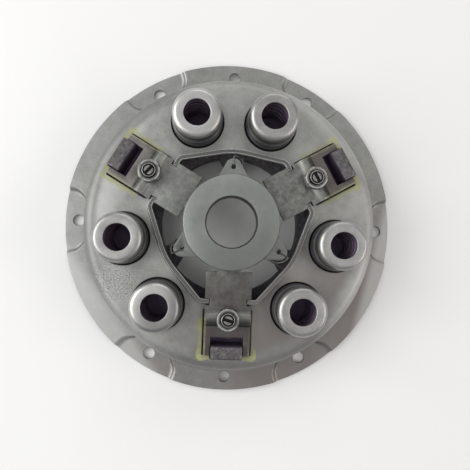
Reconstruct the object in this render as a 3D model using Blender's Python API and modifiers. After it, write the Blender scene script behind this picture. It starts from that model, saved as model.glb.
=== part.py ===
"""Clutch cover assembly of a single plate clutch, seat of the flange on Z = 0, axis on Z.

The pressed cover carries six spring cups. Three levers rock on the lip of its central
opening: the release ring pushes their inner noses down, and their outer ridges lift the
nuts, studs and pressure plate against six coil springs. Sizes are in metres.
"""
import math

import bmesh
import bpy
from mathutils import Matrix, Vector

MM = 0.001

# Layout
LEVER_COUNT = 3
FIRST_LEVER_ANGLE = 30.0
CUP_OFFSET_ANGLE = 20.0          # each cup stands this far to a side of an ear direction
GAP = 0.3 * MM                   # gap between pieces that touch
SHEET = 2.5 * MM

# Release ring; the radii below follow one another outwards from here
RING_OUTER_RADIUS = 28.75 * MM
RING_BORE_RADIUS = 15.0 * MM
RING_THICKNESS = 9.0 * MM
RING_CHAMFER = 0.6 * MM
EAR_DROP = 1.6 * MM
EAR_THICKNESS = 3.4 * MM
EAR_HOLE_REACH = 4.25 * MM
EAR_HOLE_CIRCLE = RING_OUTER_RADIUS + EAR_HOLE_REACH
EAR_TIP_ROUND = 5.0 * MM
EAR_TIP_ANGLE = 50.0
EAR_HALF_WIDTH = 9.2 * MM
EAR_HOLE_RADIUS = 1.5 * MM

# Lip round the central opening
LIP_EAR_CLEARANCE = 5.05 * MM
LIP_ARC_RADIUS = EAR_HOLE_CIRCLE + EAR_TIP_ROUND + LIP_EAR_CLEARANCE + SHEET / 2
LIP_TANGENT_ANGLE = 49.0         # from a lever, where the arc runs into the straight flank
LIP_CORNER_RADIUS = 3.5 * MM
LIP_HEIGHT = 4.5 * MM            # above the top of the cover
LIP_BEND_STEP = 0.6 * MM
LIP_OUTSET = 3.2 * MM            # of the straight seats under the levers, beyond the arc

# Studs and nuts
LEVER_THROW = 10.0 * MM          # from the fulcrum to the stud
FULCRUM_RADIUS = LIP_ARC_RADIUS + LIP_OUTSET
STUD_CIRCLE_RADIUS = FULCRUM_RADIUS + LEVER_THROW
STUD_RADIUS = 3.9 * MM
STUD_DEPTH = 10.0 * MM
STUD_STAND = 0.6 * MM
SLOT_WIDTH = 1.7 * MM
SLOT_DEPTH = 1.1 * MM
NUT_FLATS = 13.0 * MM
NUT_HEIGHT = 6.0 * MM
NUT_COLLAR_RADIUS = 5.4 * MM
NUT_COLLAR_HEIGHT = 1.2 * MM

# Release lever; places along it are radii from the clutch axis
LEVER_CLEAR_OF_COVER = 1.5 * MM
LEVER_THICKNESS = 4.0 * MM
LEVER_WIDTH = 28.0 * MM
LEVER_TONGUE_WIDTH = 14.0 * MM
NOSE_OVERLAP = 4.55 * MM
NOSE_RADIUS = RING_OUTER_RADIUS - NOSE_OVERLAP
NOSE_ROUND = 2.0 * MM
NOSE_RISE = 0.8 * MM
TONGUE_ROOT_CLEARANCE = 0.6 * MM
RIDGE_ROUND = 5.0 * MM
RIDGE_RISE = 2.0 * MM
LEVER_CRANK = 2.0 * MM
FORK_ROOT_REACH = 11.5 * MM
FORK_ROOT_RADIUS = STUD_CIRCLE_RADIUS + FORK_ROOT_REACH
NOTCH_DEPTH = 2.8 * MM
NOTCH_CLEARANCE = 0.35 * MM
STUD_SIDE_CLEARANCE = 0.6 * MM
LEVER_SWING = 10.0               # degrees

# Drive lugs and the windows that they stand in
LUG_WIDTH = 19.0 * MM
LUG_ROOT_CLEARANCE = 5.0 * MM
LUG_DEPTH = 8.3 * MM
LUG_INNER_RADIUS = FORK_ROOT_RADIUS + LUG_ROOT_CLEARANCE
LUG_OUTER_RADIUS = LUG_INNER_RADIUS + LUG_DEPTH
LUG_STAND = 0.5 * MM             # above the top of the levers
LUG_DRAFT = 1.5 * MM
LUG_CHAMFER = 1.0 * MM
LUG_CLEARANCE = 0.5 * MM
LEVER_SHORT_OF_LUG = 2.3 * MM
LEVER_END_RADIUS = LUG_OUTER_RADIUS - LEVER_SHORT_OF_LUG
WINDOW_SIDE_CLEARANCE = 1.0 * MM
WINDOW_END_CLEARANCE = 0.6 * MM
WINDOW_STUD_CLEARANCE = 1.1 * MM
WINDOW_INNER_RADIUS = STUD_CIRCLE_RADIUS - STUD_RADIUS - WINDOW_STUD_CLEARANCE

# Pressed cover
COVER_HEIGHT = 30.0 * MM
WALL_MARGIN = 9.2 * MM           # from the lugs to the foot of the wall
WALL_FOOT_RADIUS = LUG_OUTER_RADIUS + WALL_MARGIN
WALL_DRAFT = 0.6 * MM
FOOT_FILLET = 3.0 * MM
SHOULDER_RADIUS = 7.0 * MM
BOLT_MARGIN = 7.5 * MM
BOLT_CIRCLE_RADIUS = WALL_FOOT_RADIUS + BOLT_MARGIN
BOLT_HOLE_RADIUS = 3.7 * MM
SPARE_HOLE_ANGLES = (90.0, 270.0)
FLANGE_MARGIN = 8.5 * MM
FLANGE_RADIUS = BOLT_CIRCLE_RADIUS + FLANGE_MARGIN
PAD_COUNT = 6
PAD_HALF_ANGLE = 10.2            # at the edge of the flange
PAD_FOOT_HALF_ANGLE = 7.0        # at the foot of the wall
PAD_FLARE_SHARE = 0.6            # of the flange's width, over which the pads widen
RAMP_ANGLE = 1.5
RAISED_LIFT = 2.2 * MM

# Spring cups
CUP_STAND = 23.0 * MM            # above the top of the cover
CUP_STEP_STAND = 9.0 * MM
CUP_WALL = 1.6 * MM
CUP_RADIUS = 14.7 * MM
CUP_STEP = 0.8 * MM
CUP_LOWER_RADIUS = CUP_RADIUS + CUP_STEP
CUP_SHOULDER = 3.2 * MM
CUP_RIM_WIDTH = 6.9 * MM
CUP_TOP_HOLE_RADIUS = CUP_RADIUS - CUP_RIM_WIDTH
CUP_BRIM_WIDTH = 2.5 * MM
CUP_BRIM_RADIUS = CUP_LOWER_RADIUS + CUP_BRIM_WIDTH
CUP_BRIM_FILLET = 1.0 * MM
CUP_HOLE_CLEARANCE = 1.0 * MM
CUP_HOLE_RADIUS = CUP_LOWER_RADIUS + CUP_HOLE_CLEARANCE
CUP_HOLE_MARGIN = 8.8 * MM
CUP_CIRCLE_RADIUS = WALL_FOOT_RADIUS - CUP_HOLE_MARGIN - CUP_HOLE_RADIUS

# Pressure plate
PLATE_WALL_CLEARANCE = 5.5 * MM
PLATE_OUTER_RADIUS = WALL_FOOT_RADIUS - PLATE_WALL_CLEARANCE
FRICTION_FACE_Z = 4.0 * MM
FRICTION_WIDTH = 36.0 * MM
FRICTION_INNER_RADIUS = PLATE_OUTER_RADIUS - FRICTION_WIDTH
PLATE_INNER_MARGIN = 6.0 * MM
PLATE_INNER_RADIUS = FRICTION_INNER_RADIUS - PLATE_INNER_MARGIN
PLATE_THICKNESS = 11.0 * MM
FACE_STEP = 1.0 * MM
LOBE_REACH = 8.0 * MM
LOBE_INNER_RADIUS = PLATE_INNER_RADIUS - LOBE_REACH
LOBE_HALF_ANGLE = 12.0
STUD_BOSS_RADIUS = 8.0 * MM
STUD_BOSS_HEIGHT = 7.0 * MM
SPRING_BOSS_HEIGHT = 3.0 * MM

# Thrust springs
SPRING_WIRE_RADIUS = 1.9 * MM
SPRING_SIDE_CLEARANCE = 0.9 * MM
SPRING_TURNS = 5.5
SPRING_END_TURNS = 0.8
SPRING_END_GAP = 0.4 * MM

# Ring clips
CLIP_WIRE_RADIUS = 0.5 * MM
CLIP_HOOK = 3.0 * MM
CLIP_BEND = 1.0 * MM
CLIP_LOOP_CLEARANCE = 2.0 * MM   # of the loop round the tip of the ear
CLIP_LOOP_ANGLE = 100.0
CLIP_REACH = 3.5 * MM            # outwards under the cover, from the middle of the lip

# Fineness of round pieces
CUP_STEPS = 18
RING_STEPS = 36
PLATE_STEPS = 54
CUP_HOLE_SIDES = 24
BOSS_SIDES = 12
BOLT_HOLE_SIDES = 12
STUD_SIDES = 16
SPRING_POINTS_PER_TURN = 8

# Derived heights
COVER_UNDERSIDE_Z = COVER_HEIGHT - SHEET
LEVER_UNDERSIDE_Z = COVER_HEIGHT + LEVER_CLEAR_OF_COVER
LEVER_TOP_Z = LEVER_UNDERSIDE_Z + LEVER_THICKNESS
RIDGE_TOP_Z = LEVER_TOP_Z + RIDGE_RISE
RIDGE_CENTRE_Z = RIDGE_TOP_Z - RIDGE_ROUND
LUG_TOP_Z = LEVER_TOP_Z + LUG_STAND
NUT_BOTTOM_Z = RIDGE_TOP_Z + GAP
NUT_TOP_Z = NUT_BOTTOM_Z + NUT_HEIGHT + NUT_COLLAR_HEIGHT
RING_BOTTOM_Z = LEVER_TOP_Z + NOSE_RISE + GAP
RING_TOP_Z = RING_BOTTOM_Z + RING_THICKNESS
EAR_TOP_Z = RING_TOP_Z - EAR_DROP
LIP_TOP_Z = COVER_HEIGHT + LIP_HEIGHT
PLATE_BACK_Z = FRICTION_FACE_Z + PLATE_THICKNESS
CUP_TOP_Z = COVER_HEIGHT + CUP_STAND
CUP_STEP_Z = COVER_HEIGHT + CUP_STEP_STAND
CUP_BRIM_TOP_Z = COVER_UNDERSIDE_Z - GAP
SPRING_MEAN_RADIUS = CUP_RADIUS - CUP_WALL - SPRING_SIDE_CLEARANCE - SPRING_WIRE_RADIUS
SPRING_LOW_Z = PLATE_BACK_Z + GAP
SPRING_HIGH_Z = CUP_TOP_Z - CUP_WALL - GAP
SPRING_BOSS_RADIUS = SPRING_MEAN_RADIUS - SPRING_WIRE_RADIUS - SPRING_SIDE_CLEARANCE


def lever_angles():
    return [FIRST_LEVER_ANGLE + 360.0 / LEVER_COUNT * i for i in range(LEVER_COUNT)]


def ear_angles():
    return [angle + 180.0 / LEVER_COUNT for angle in lever_angles()]


def cup_angles():
    return [angle + side * CUP_OFFSET_ANGLE for angle in ear_angles() for side in (-1, 1)]


def polar(radius, degrees):
    angle = math.radians(degrees)
    return (radius * math.cos(angle), radius * math.sin(angle))


def arc(centre, radius, start, end, pieces):
    """Points on an arc, both ends included, angles in degrees."""
    points = []
    for i in range(pieces + 1):
        x, y = polar(radius, start + (end - start) * i / pieces)
        points.append((centre[0] + x, centre[1] + y))
    return points


def turned_by(points, degrees):
    """The outline turned about the clutch axis."""
    spin = Matrix.Rotation(math.radians(degrees), 2)
    return [tuple(spin @ Vector(point)) for point in points]


def circle(centre, radius, sides):
    return arc(centre, radius, 0.0, 360.0 - 360.0 / sides, sides - 1)


def rectangle(low, high):
    return [(low[0], low[1]), (high[0], low[1]), (high[0], high[1]), (low[0], high[1])]


def start_scene():
    for item in list(bpy.data.objects):
        bpy.data.objects.remove(item, do_unlink=True)
    parts = bpy.data.collections.new("clutch_cover_assembly")
    cutters = bpy.data.collections.new("cutters")
    for group in (parts, cutters):
        bpy.context.scene.collection.children.link(group)
    return parts, cutters


def make_material(name, colour, roughness, metallic):
    material = bpy.data.materials.new(name)
    material.use_nodes = True
    shader = material.node_tree.nodes["Principled BSDF"]
    shader.inputs["Base Color"].default_value = (*colour, 1.0)
    shader.inputs["Roughness"].default_value = roughness
    shader.inputs["Metallic"].default_value = metallic
    return material


def add_object(name, data, group):
    item = bpy.data.objects.new(name, data)
    group.objects.link(item)
    return item


def baked_mesh(item, name):
    """The evaluated shape as a plain mesh with its loose caps welded."""
    bpy.context.view_layer.update()
    evaluated = item.evaluated_get(bpy.context.evaluated_depsgraph_get())
    mesh = bpy.data.meshes.new_from_object(evaluated)
    mesh.name = name
    form = bmesh.new()
    form.from_mesh(mesh)
    bmesh.ops.remove_doubles(form, verts=form.verts, dist=0.001 * MM)
    form.to_mesh(mesh)
    form.free()
    return mesh


def bake(item, name, group):
    """Swaps a curve or a piece with modifiers for a mesh object at the same place."""
    mesh = baked_mesh(item, name)
    place = item.matrix_world.copy()
    bpy.data.objects.remove(item, do_unlink=True)
    solid = add_object(name, mesh, group)
    solid.matrix_world = place
    return solid


def plate(name, outlines, low, high, group):
    """A flat sheet of one or more outlines between two heights."""
    curve = bpy.data.curves.new(name, "CURVE")
    curve.dimensions = "2D"
    curve.fill_mode = "BOTH"
    curve.extrude = (high - low) / 2
    for outline in outlines:
        spline = curve.splines.new("POLY")
        spline.points.add(len(outline) - 1)
        for point, (x, y) in zip(spline.points, outline):
            point.co = (x, y, 0.0, 1.0)
        spline.use_cyclic_u = True
    item = add_object(name, curve, group)
    item.location.z = (high + low) / 2
    return bake(item, name, group)


def side_cut_plate(name, outline, width, group):
    """An outline in radius and height, spread equally to both sides of the X axis."""
    item = plate(name, [outline], -width / 2, width / 2, group)
    item.matrix_world = Matrix.Rotation(math.radians(90.0), 4, "X") @ item.matrix_world
    return item


def wire(name, points, radius, group):
    curve = bpy.data.curves.new(name, "CURVE")
    curve.dimensions = "3D"
    curve.bevel_depth = radius
    curve.bevel_resolution = 2
    curve.use_fill_caps = True
    spline = curve.splines.new("POLY")
    spline.points.add(len(points) - 1)
    for point, place in zip(spline.points, points):
        point.co = (*place, 1.0)
    return bake(add_object(name, curve, group), name, group)


def turned(name, profile, steps, group, closed=True):
    """A profile of (radius, height) points, down its outer side, spun about Z."""
    count = len(profile)
    edges = [(i, (i + 1) % count) for i in range(count if closed else count - 1)]
    mesh = bpy.data.meshes.new(name)
    mesh.from_pydata([(radius, 0.0, z) for radius, z in profile], edges, [])
    item = add_object(name, mesh, group)
    screw = item.modifiers.new("turn", "SCREW")
    screw.axis = "Z"
    screw.angle = math.tau
    screw.steps = steps
    screw.render_steps = steps
    screw.use_merge_vertices = True
    screw.merge_threshold = 0.001 * MM
    screw.use_smooth_shade = False
    return item


def combine(item, operation, tool):
    tool.hide_render = True
    tool.display_type = "WIRE"
    step = item.modifiers.new(tool.name, "BOOLEAN")
    step.operation = operation
    step.solver = "EXACT"
    step.object = tool


def solidify(item, thickness):
    step = item.modifiers.new("sheet", "SOLIDIFY")
    step.thickness = thickness
    step.offset = -1.0
    step.use_even_offset = True


def finish(item, material, angle=35.0):
    item.data.materials.clear()
    item.data.materials.append(material)
    item.data.shade_smooth()
    item.data.set_sharp_from_angle(angle=math.radians(angle))


def copies(source, names, angles, group, location=(0.0, 0.0, 0.0)):
    """Own objects on one mesh, each turned about the clutch axis from its place on +X."""
    shape = baked_mesh(source, source.name + "_shape")
    place = source.matrix_world.copy()
    bpy.data.objects.remove(source, do_unlink=True)
    shape.transform(Matrix.Translation(-Vector(location)) @ place)
    made = []
    for name, angle in zip(names, angles):
        item = add_object(name, shape, group)
        spin = Matrix.Rotation(math.radians(angle), 4, "Z")
        item.matrix_world = spin @ Matrix.Translation(Vector(location))
        made.append(item)
    return made


def numbered(stem, count):
    return [f"{stem}_{i + 1}" for i in range(count)]


def opening_outline(offset):
    """The lip's path, moved outwards by the offset from the middle of the sheet."""
    tangent = math.radians(LIP_TANGENT_ANGLE)
    corner_x = FULCRUM_RADIUS - LIP_CORNER_RADIUS
    reach = LIP_ARC_RADIUS - LIP_CORNER_RADIUS
    corner_y = (reach - corner_x * math.cos(tangent)) / math.sin(tangent)
    half_sector = 180.0 / LEVER_COUNT
    outline = []
    for lever in lever_angles():
        arc_radius = LIP_ARC_RADIUS + offset
        corner_radius = LIP_CORNER_RADIUS + offset
        sector = arc((0, 0), arc_radius, -half_sector, -LIP_TANGENT_ANGLE, 2)[:-1]
        sector += arc((corner_x, -corner_y), corner_radius, -LIP_TANGENT_ANGLE, 0.0, 4)
        sector += arc((corner_x, corner_y), corner_radius, 0.0, LIP_TANGENT_ANGLE, 4)
        sector += arc((0, 0), arc_radius, LIP_TANGENT_ANGLE, half_sector, 2)[1:-1]
        outline += turned_by(sector, lever)
    return outline


def flange_stations():
    """Stations round the cover: angle at the wall, angle at the edge, and flange height."""
    period = 360.0 / PAD_COUNT
    pad_pieces = 4
    raised_pieces = 6
    stations = []
    for pad in range(PAD_COUNT):
        centre = pad * period
        for i in range(pad_pieces + 1):
            share = 2 * i / pad_pieces - 1
            inner = centre + PAD_FOOT_HALF_ANGLE * share
            stations.append((inner, centre + PAD_HALF_ANGLE * share, 0.0))
        for i in range(raised_pieces + 1):
            share = 2 * i / raised_pieces - 1
            middle = centre + period / 2
            inner = middle + (period / 2 - PAD_FOOT_HALF_ANGLE - RAMP_ANGLE) * share
            outer = middle + (period / 2 - PAD_HALF_ANGLE - RAMP_ANGLE) * share
            stations.append((inner, outer, RAISED_LIFT))
    return stations


def cover_section(flange_z):
    """Upper surface of the sheet from the crown outwards, as radius and height."""
    top_radius = WALL_FOOT_RADIUS - WALL_DRAFT
    flange_top = flange_z + SHEET
    shoulder = (top_radius - SHOULDER_RADIUS, COVER_HEIGHT - SHOULDER_RADIUS)
    foot = (WALL_FOOT_RADIUS + FOOT_FILLET, flange_top + FOOT_FILLET)
    section = [(LIP_ARC_RADIUS - 3 * SHEET, COVER_HEIGHT)]
    section += arc(shoulder, SHOULDER_RADIUS, 90.0, 0.0, 4)
    section += arc(foot, FOOT_FILLET, 180.0, 270.0, 2)
    flare_end = foot[0] + (FLANGE_RADIUS - foot[0]) * PAD_FLARE_SHARE
    section += [(flare_end, flange_top), (FLANGE_RADIUS, flange_top)]
    return section


def build_cover(parts, cutters, material):
    # The flange rises between the bolt pads, so the sheet is a loft of unlike sections.
    form = bmesh.new()
    rings = []
    for inner, outer, flange_z in flange_stations():
        section = cover_section(flange_z)
        angles = [inner] * (len(section) - 2) + [outer] * 2
        places = [(*polar(radius, angle), z) for (radius, z), angle in zip(section, angles)]
        rings.append([form.verts.new(place) for place in places])
    for i, ring in enumerate(rings):
        following = rings[(i + 1) % len(rings)]
        for j in range(len(ring) - 1):
            form.faces.new((ring[j], ring[j + 1], following[j + 1], following[j]))
    mesh = bpy.data.meshes.new("cover")
    form.to_mesh(mesh)
    form.free()
    cover = add_object("cover", mesh, parts)
    solidify(cover, SHEET)

    above = LIP_TOP_Z + SHEET
    below = COVER_UNDERSIDE_Z - SHEET
    opening = plate("opening_cutter", [opening_outline(0.0)], below, above, cutters)
    combine(cover, "DIFFERENCE", opening)
    lip_outlines = [opening_outline(SHEET / 2), opening_outline(-SHEET / 2)]
    lip_foot = COVER_UNDERSIDE_Z + LIP_BEND_STEP
    lip = plate("lip_band", lip_outlines, lip_foot, LIP_TOP_Z, cutters)
    combine(cover, "UNION", lip)

    window_half = LEVER_WIDTH / 2 + WINDOW_SIDE_CLEARANCE
    window_end = LEVER_END_RADIUS + WINDOW_END_CLEARANCE
    notch_half = LUG_WIDTH / 2 + LUG_CLEARANCE
    notch_end = LUG_OUTER_RADIUS + WINDOW_END_CLEARANCE
    window = [
        (WINDOW_INNER_RADIUS, -window_half),
        (window_end, -window_half),
        (window_end, -notch_half),
        (notch_end, -notch_half),
        (notch_end, notch_half),
        (window_end, notch_half),
        (window_end, window_half),
        (WINDOW_INNER_RADIUS, window_half),
    ]
    cuts = [turned_by(window, angle) for angle in lever_angles()]
    for angle in cup_angles():
        cuts.append(circle(polar(CUP_CIRCLE_RADIUS, angle), CUP_HOLE_RADIUS, CUP_HOLE_SIDES))
    combine(cover, "DIFFERENCE", plate("window_cutter", cuts, below, above, cutters))

    seat_half = LEVER_WIDTH / 2 - NOTCH_DEPTH + NOTCH_CLEARANCE
    low = (FULCRUM_RADIUS - SHEET, -seat_half)
    high = (FULCRUM_RADIUS + SHEET, seat_half)
    seats = [turned_by(rectangle(low, high), angle) for angle in lever_angles()]
    fulcrum_z = LEVER_UNDERSIDE_Z - GAP
    combine(cover, "DIFFERENCE", plate("lever_seat_cutter", seats, fulcrum_z, above, cutters))

    hole_angles = [360.0 / PAD_COUNT * i for i in range(PAD_COUNT)] + list(SPARE_HOLE_ANGLES)
    holes = []
    for angle in hole_angles:
        holes.append(circle(polar(BOLT_CIRCLE_RADIUS, angle), BOLT_HOLE_RADIUS, BOLT_HOLE_SIDES))
    hole_top = RAISED_LIFT + 2 * SHEET
    combine(cover, "DIFFERENCE", plate("bolt_hole_cutter", holes, -SHEET, hole_top, cutters))
    finish(cover, material)


def build_pressure_plate(parts, cutters, material):
    back = PLATE_BACK_Z
    profile = [
        (PLATE_INNER_RADIUS, back),
        (PLATE_OUTER_RADIUS - FACE_STEP, back),
        (PLATE_OUTER_RADIUS, back - FACE_STEP),
        (PLATE_OUTER_RADIUS, FRICTION_FACE_Z),
        (FRICTION_INNER_RADIUS, FRICTION_FACE_Z),
        (FRICTION_INNER_RADIUS - FACE_STEP, FRICTION_FACE_Z + FACE_STEP),
        (PLATE_INNER_RADIUS, FRICTION_FACE_Z + FACE_STEP),
    ]
    casting = turned("pressure_plate", profile, PLATE_STEPS, parts)

    lobe_low = FRICTION_FACE_Z + 2 * FACE_STEP
    lobe_root = (PLATE_INNER_RADIUS + FRICTION_INNER_RADIUS) / 2
    lobe = arc((0, 0), lobe_root, -LOBE_HALF_ANGLE, LOBE_HALF_ANGLE, 4)
    lobe += arc((0, 0), LOBE_INNER_RADIUS, LOBE_HALF_ANGLE / 2, -LOBE_HALF_ANGLE / 2, 3)
    lobes = [turned_by(lobe, angle) for angle in ear_angles()]
    lobe_high = back - FACE_STEP
    combine(casting, "UNION", plate("lobes", lobes, lobe_low, lobe_high, cutters))

    # Cast lug, drafted on its inner side and chamfered along its top
    rooted = back - 2 * FACE_STEP
    lug = [
        (LUG_INNER_RADIUS - LUG_DRAFT, rooted),
        (LUG_OUTER_RADIUS, rooted),
        (LUG_OUTER_RADIUS, LUG_TOP_Z - LUG_CHAMFER),
        (LUG_OUTER_RADIUS - LUG_CHAMFER, LUG_TOP_Z),
        (LUG_INNER_RADIUS + LUG_CHAMFER, LUG_TOP_Z),
        (LUG_INNER_RADIUS, LUG_TOP_Z - LUG_CHAMFER),
        (LUG_INNER_RADIUS, COVER_UNDERSIDE_Z - LUG_CHAMFER),
    ]
    lug_names = numbered("lug_form", LEVER_COUNT)
    lug_source = side_cut_plate("lug_source", lug, LUG_WIDTH, cutters)
    for item in copies(lug_source, lug_names, lever_angles(), cutters):
        combine(casting, "UNION", item)

    bosses = []
    for angle in lever_angles():
        bosses.append(circle(polar(STUD_CIRCLE_RADIUS, angle), STUD_BOSS_RADIUS, BOSS_SIDES))
    boss_top = back + STUD_BOSS_HEIGHT
    combine(casting, "UNION", plate("stud_bosses", bosses, rooted, boss_top, cutters))

    seats = []
    for angle in cup_angles():
        seats.append(circle(polar(CUP_CIRCLE_RADIUS, angle), SPRING_BOSS_RADIUS, BOSS_SIDES))
    seat_top = back + SPRING_BOSS_HEIGHT
    combine(casting, "UNION", plate("spring_bosses", seats, rooted, seat_top, cutters))

    bores = []
    for angle in lever_angles():
        bores.append(circle(polar(STUD_CIRCLE_RADIUS, angle), STUD_RADIUS + GAP, STUD_SIDES))
    bore_low = boss_top - STUD_DEPTH - GAP
    combine(casting, "DIFFERENCE", plate("stud_bores", bores, bore_low, boss_top + SHEET, cutters))
    finish(casting, material)


def lever_profile():
    """Side view of a lever: nose, flat arm, cross ridge and lower outer end."""
    nose_centre = (NOSE_RADIUS, LEVER_TOP_Z + NOSE_RISE - NOSE_ROUND)
    nose_drop = math.degrees(math.asin((NOSE_ROUND - NOSE_RISE) / NOSE_ROUND))
    rise = RIDGE_CENTRE_Z
    near = math.degrees(math.asin((LEVER_TOP_Z - rise) / RIDGE_ROUND))
    outer_top = LEVER_TOP_Z - LEVER_CRANK
    far = math.degrees(math.asin((outer_top - rise) / RIDGE_ROUND))
    ridge_centre = (STUD_CIRCLE_RADIUS, rise)
    outline = arc(nose_centre, NOSE_ROUND, 180.0, nose_drop, 4)
    outline += arc(ridge_centre, RIDGE_ROUND, 180.0 - near, far, 8)
    outline.append((LEVER_END_RADIUS, outer_top))
    outline.append((LEVER_END_RADIUS, outer_top - LEVER_THICKNESS))
    bend = STUD_CIRCLE_RADIUS + RIDGE_ROUND - RIDGE_RISE / 2
    outline.append((bend, outer_top - LEVER_THICKNESS))
    outline.append((bend - LEVER_CRANK, LEVER_UNDERSIDE_Z))
    outline.append((NOSE_RADIUS, LEVER_UNDERSIDE_Z))
    return outline


def build_levers(parts, cutters, material):
    lever = side_cut_plate("lever", lever_profile(), LEVER_WIDTH, parts)
    swing = math.sin(math.radians(LEVER_SWING))
    half = LEVER_WIDTH / 2
    beyond = LEVER_WIDTH
    tongue_half = LEVER_TONGUE_WIDTH / 2
    tongue_root = RING_OUTER_RADIUS + TONGUE_ROOT_CLEARANCE
    notch_in = FULCRUM_RADIUS - SHEET / 2 - NOTCH_CLEARANCE
    notch_out = FULCRUM_RADIUS + SHEET / 2 + NOTCH_CLEARANCE + LEVER_THICKNESS * swing
    notch_floor = half - NOTCH_DEPTH
    cuts = []
    for side in (-1, 1):
        tongue = rectangle((0.0, side * tongue_half), (tongue_root, side * beyond))
        notch = rectangle((notch_in, side * notch_floor), (notch_out, side * beyond))
        cuts += [tongue, notch]
    fork_half = LUG_WIDTH / 2 + LUG_CLEARANCE
    fork_end = LEVER_END_RADIUS + SHEET
    cuts.append(rectangle((FORK_ROOT_RADIUS, -fork_half), (fork_end, fork_half)))

    # The stud's hole is long enough for the lever to swing past the upright stud.
    hole_half = STUD_RADIUS + STUD_SIDE_CLEARANCE
    inner_end = (STUD_CIRCLE_RADIUS, 0.0)
    outer_end = (STUD_CIRCLE_RADIUS + LEVER_CRANK * swing + STUD_SIDE_CLEARANCE, 0.0)
    hole = arc(inner_end, hole_half, 90.0, 270.0, 8) + arc(outer_end, hole_half, -90.0, 90.0, 8)
    cuts.append(hole)
    low = LEVER_UNDERSIDE_Z - LEVER_THICKNESS
    high = RIDGE_TOP_Z + SHEET
    combine(lever, "DIFFERENCE", plate("lever_cutter", cuts, low, high, cutters))
    names = numbered("release_lever", LEVER_COUNT)
    pivot = (FULCRUM_RADIUS, 0.0, LEVER_UNDERSIDE_Z)
    for item in copies(lever, names, lever_angles(), parts, pivot):
        finish(item, material)


def build_studs(parts, cutters, material):
    top = NUT_TOP_Z + STUD_STAND
    low = PLATE_BACK_Z + STUD_BOSS_HEIGHT - STUD_DEPTH
    edge = SLOT_DEPTH / 2
    profile = [
        (0.0, top),
        (STUD_RADIUS - edge, top),
        (STUD_RADIUS, top - edge),
        (STUD_RADIUS, low),
        (0.0, low),
    ]
    stud = turned("stud", profile, STUD_SIDES, parts, closed=False)
    half_slot = SLOT_WIDTH / 2
    slot = rectangle((-2 * STUD_RADIUS, -half_slot), (2 * STUD_RADIUS, half_slot))
    combine(stud, "DIFFERENCE", plate("slot_cutter", [slot], top - SLOT_DEPTH, top + SHEET, cutters))
    stud = bake(stud, "stud", parts)
    stud.location.x = STUD_CIRCLE_RADIUS
    bpy.context.view_layer.update()
    names = numbered("lever_stud", LEVER_COUNT)
    axis = (STUD_CIRCLE_RADIUS, 0.0, 0.0)
    for item in copies(stud, names, lever_angles(), parts, axis):
        finish(item, material)


def build_nuts(parts, cutters, material):
    corner = NUT_FLATS / math.sqrt(3)
    bore = STUD_RADIUS + GAP
    hexagon = plate("nut", [circle((0, 0), corner, 6)], NUT_BOTTOM_Z, NUT_BOTTOM_Z + NUT_HEIGHT, parts)
    collar = [circle((0, 0), NUT_COLLAR_RADIUS, STUD_SIDES)]
    combine(hexagon, "UNION", plate("nut_collar", collar, NUT_BOTTOM_Z + SHEET, NUT_TOP_Z, cutters))
    hole = [circle((0, 0), bore, STUD_SIDES)]
    hole_low = NUT_BOTTOM_Z - SHEET
    combine(hexagon, "DIFFERENCE", plate("nut_bore", hole, hole_low, NUT_TOP_Z + SHEET, cutters))
    nut = bake(hexagon, "nut", parts)
    nut.location.x = STUD_CIRCLE_RADIUS
    bpy.context.view_layer.update()
    names = numbered("adjusting_nut", LEVER_COUNT)
    axis = (STUD_CIRCLE_RADIUS, 0.0, 0.0)
    for item in copies(nut, names, lever_angles(), parts, axis):
        finish(item, material)


def build_release_ring(parts, cutters, material):
    chamfer = RING_CHAMFER
    profile = [
        (RING_BORE_RADIUS + chamfer, RING_TOP_Z),
        (RING_OUTER_RADIUS - chamfer, RING_TOP_Z),
        (RING_OUTER_RADIUS, RING_TOP_Z - chamfer),
        (RING_OUTER_RADIUS, RING_BOTTOM_Z),
        (RING_BORE_RADIUS, RING_BOTTOM_Z),
        (RING_BORE_RADIUS, RING_TOP_Z - chamfer),
    ]
    ring = turned("release_ring", profile, RING_STEPS, parts)
    ears = []
    holes = []
    for angle in ear_angles():
        root = math.sqrt(RING_OUTER_RADIUS ** 2 - EAR_HALF_WIDTH ** 2) - RING_CHAMFER
        ear = [(root, -EAR_HALF_WIDTH)]
        ear += arc((EAR_HOLE_CIRCLE, 0.0), EAR_TIP_ROUND, -EAR_TIP_ANGLE, EAR_TIP_ANGLE, 6)
        ear.append((root, EAR_HALF_WIDTH))
        ears.append(turned_by(ear, angle))
        holes.append(circle(polar(EAR_HOLE_CIRCLE, angle), EAR_HOLE_RADIUS, BOLT_HOLE_SIDES))
    ear_low = EAR_TOP_Z - EAR_THICKNESS
    combine(ring, "UNION", plate("ears", ears, ear_low, EAR_TOP_Z, cutters))
    combine(ring, "DIFFERENCE", plate("ear_holes", holes, ear_low - SHEET, RING_TOP_Z, cutters))
    finish(ring, material)


def rounded_path(points, reach, pieces):
    """The path with each inner corner drawn as a short curve that starts at the reach."""
    places = [Vector(point) for point in points]
    path = [places[0]]
    for before, corner, after in zip(places, places[1:], places[2:]):
        start = corner + (before - corner).normalized() * min(reach, (before - corner).length / 2)
        end = corner + (after - corner).normalized() * min(reach, (after - corner).length / 2)
        for i in range(pieces + 1):
            t = i / pieces
            path.append(start.lerp(corner, t).lerp(corner.lerp(end, t), t))
    path.append(places[-1])
    return path


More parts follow.
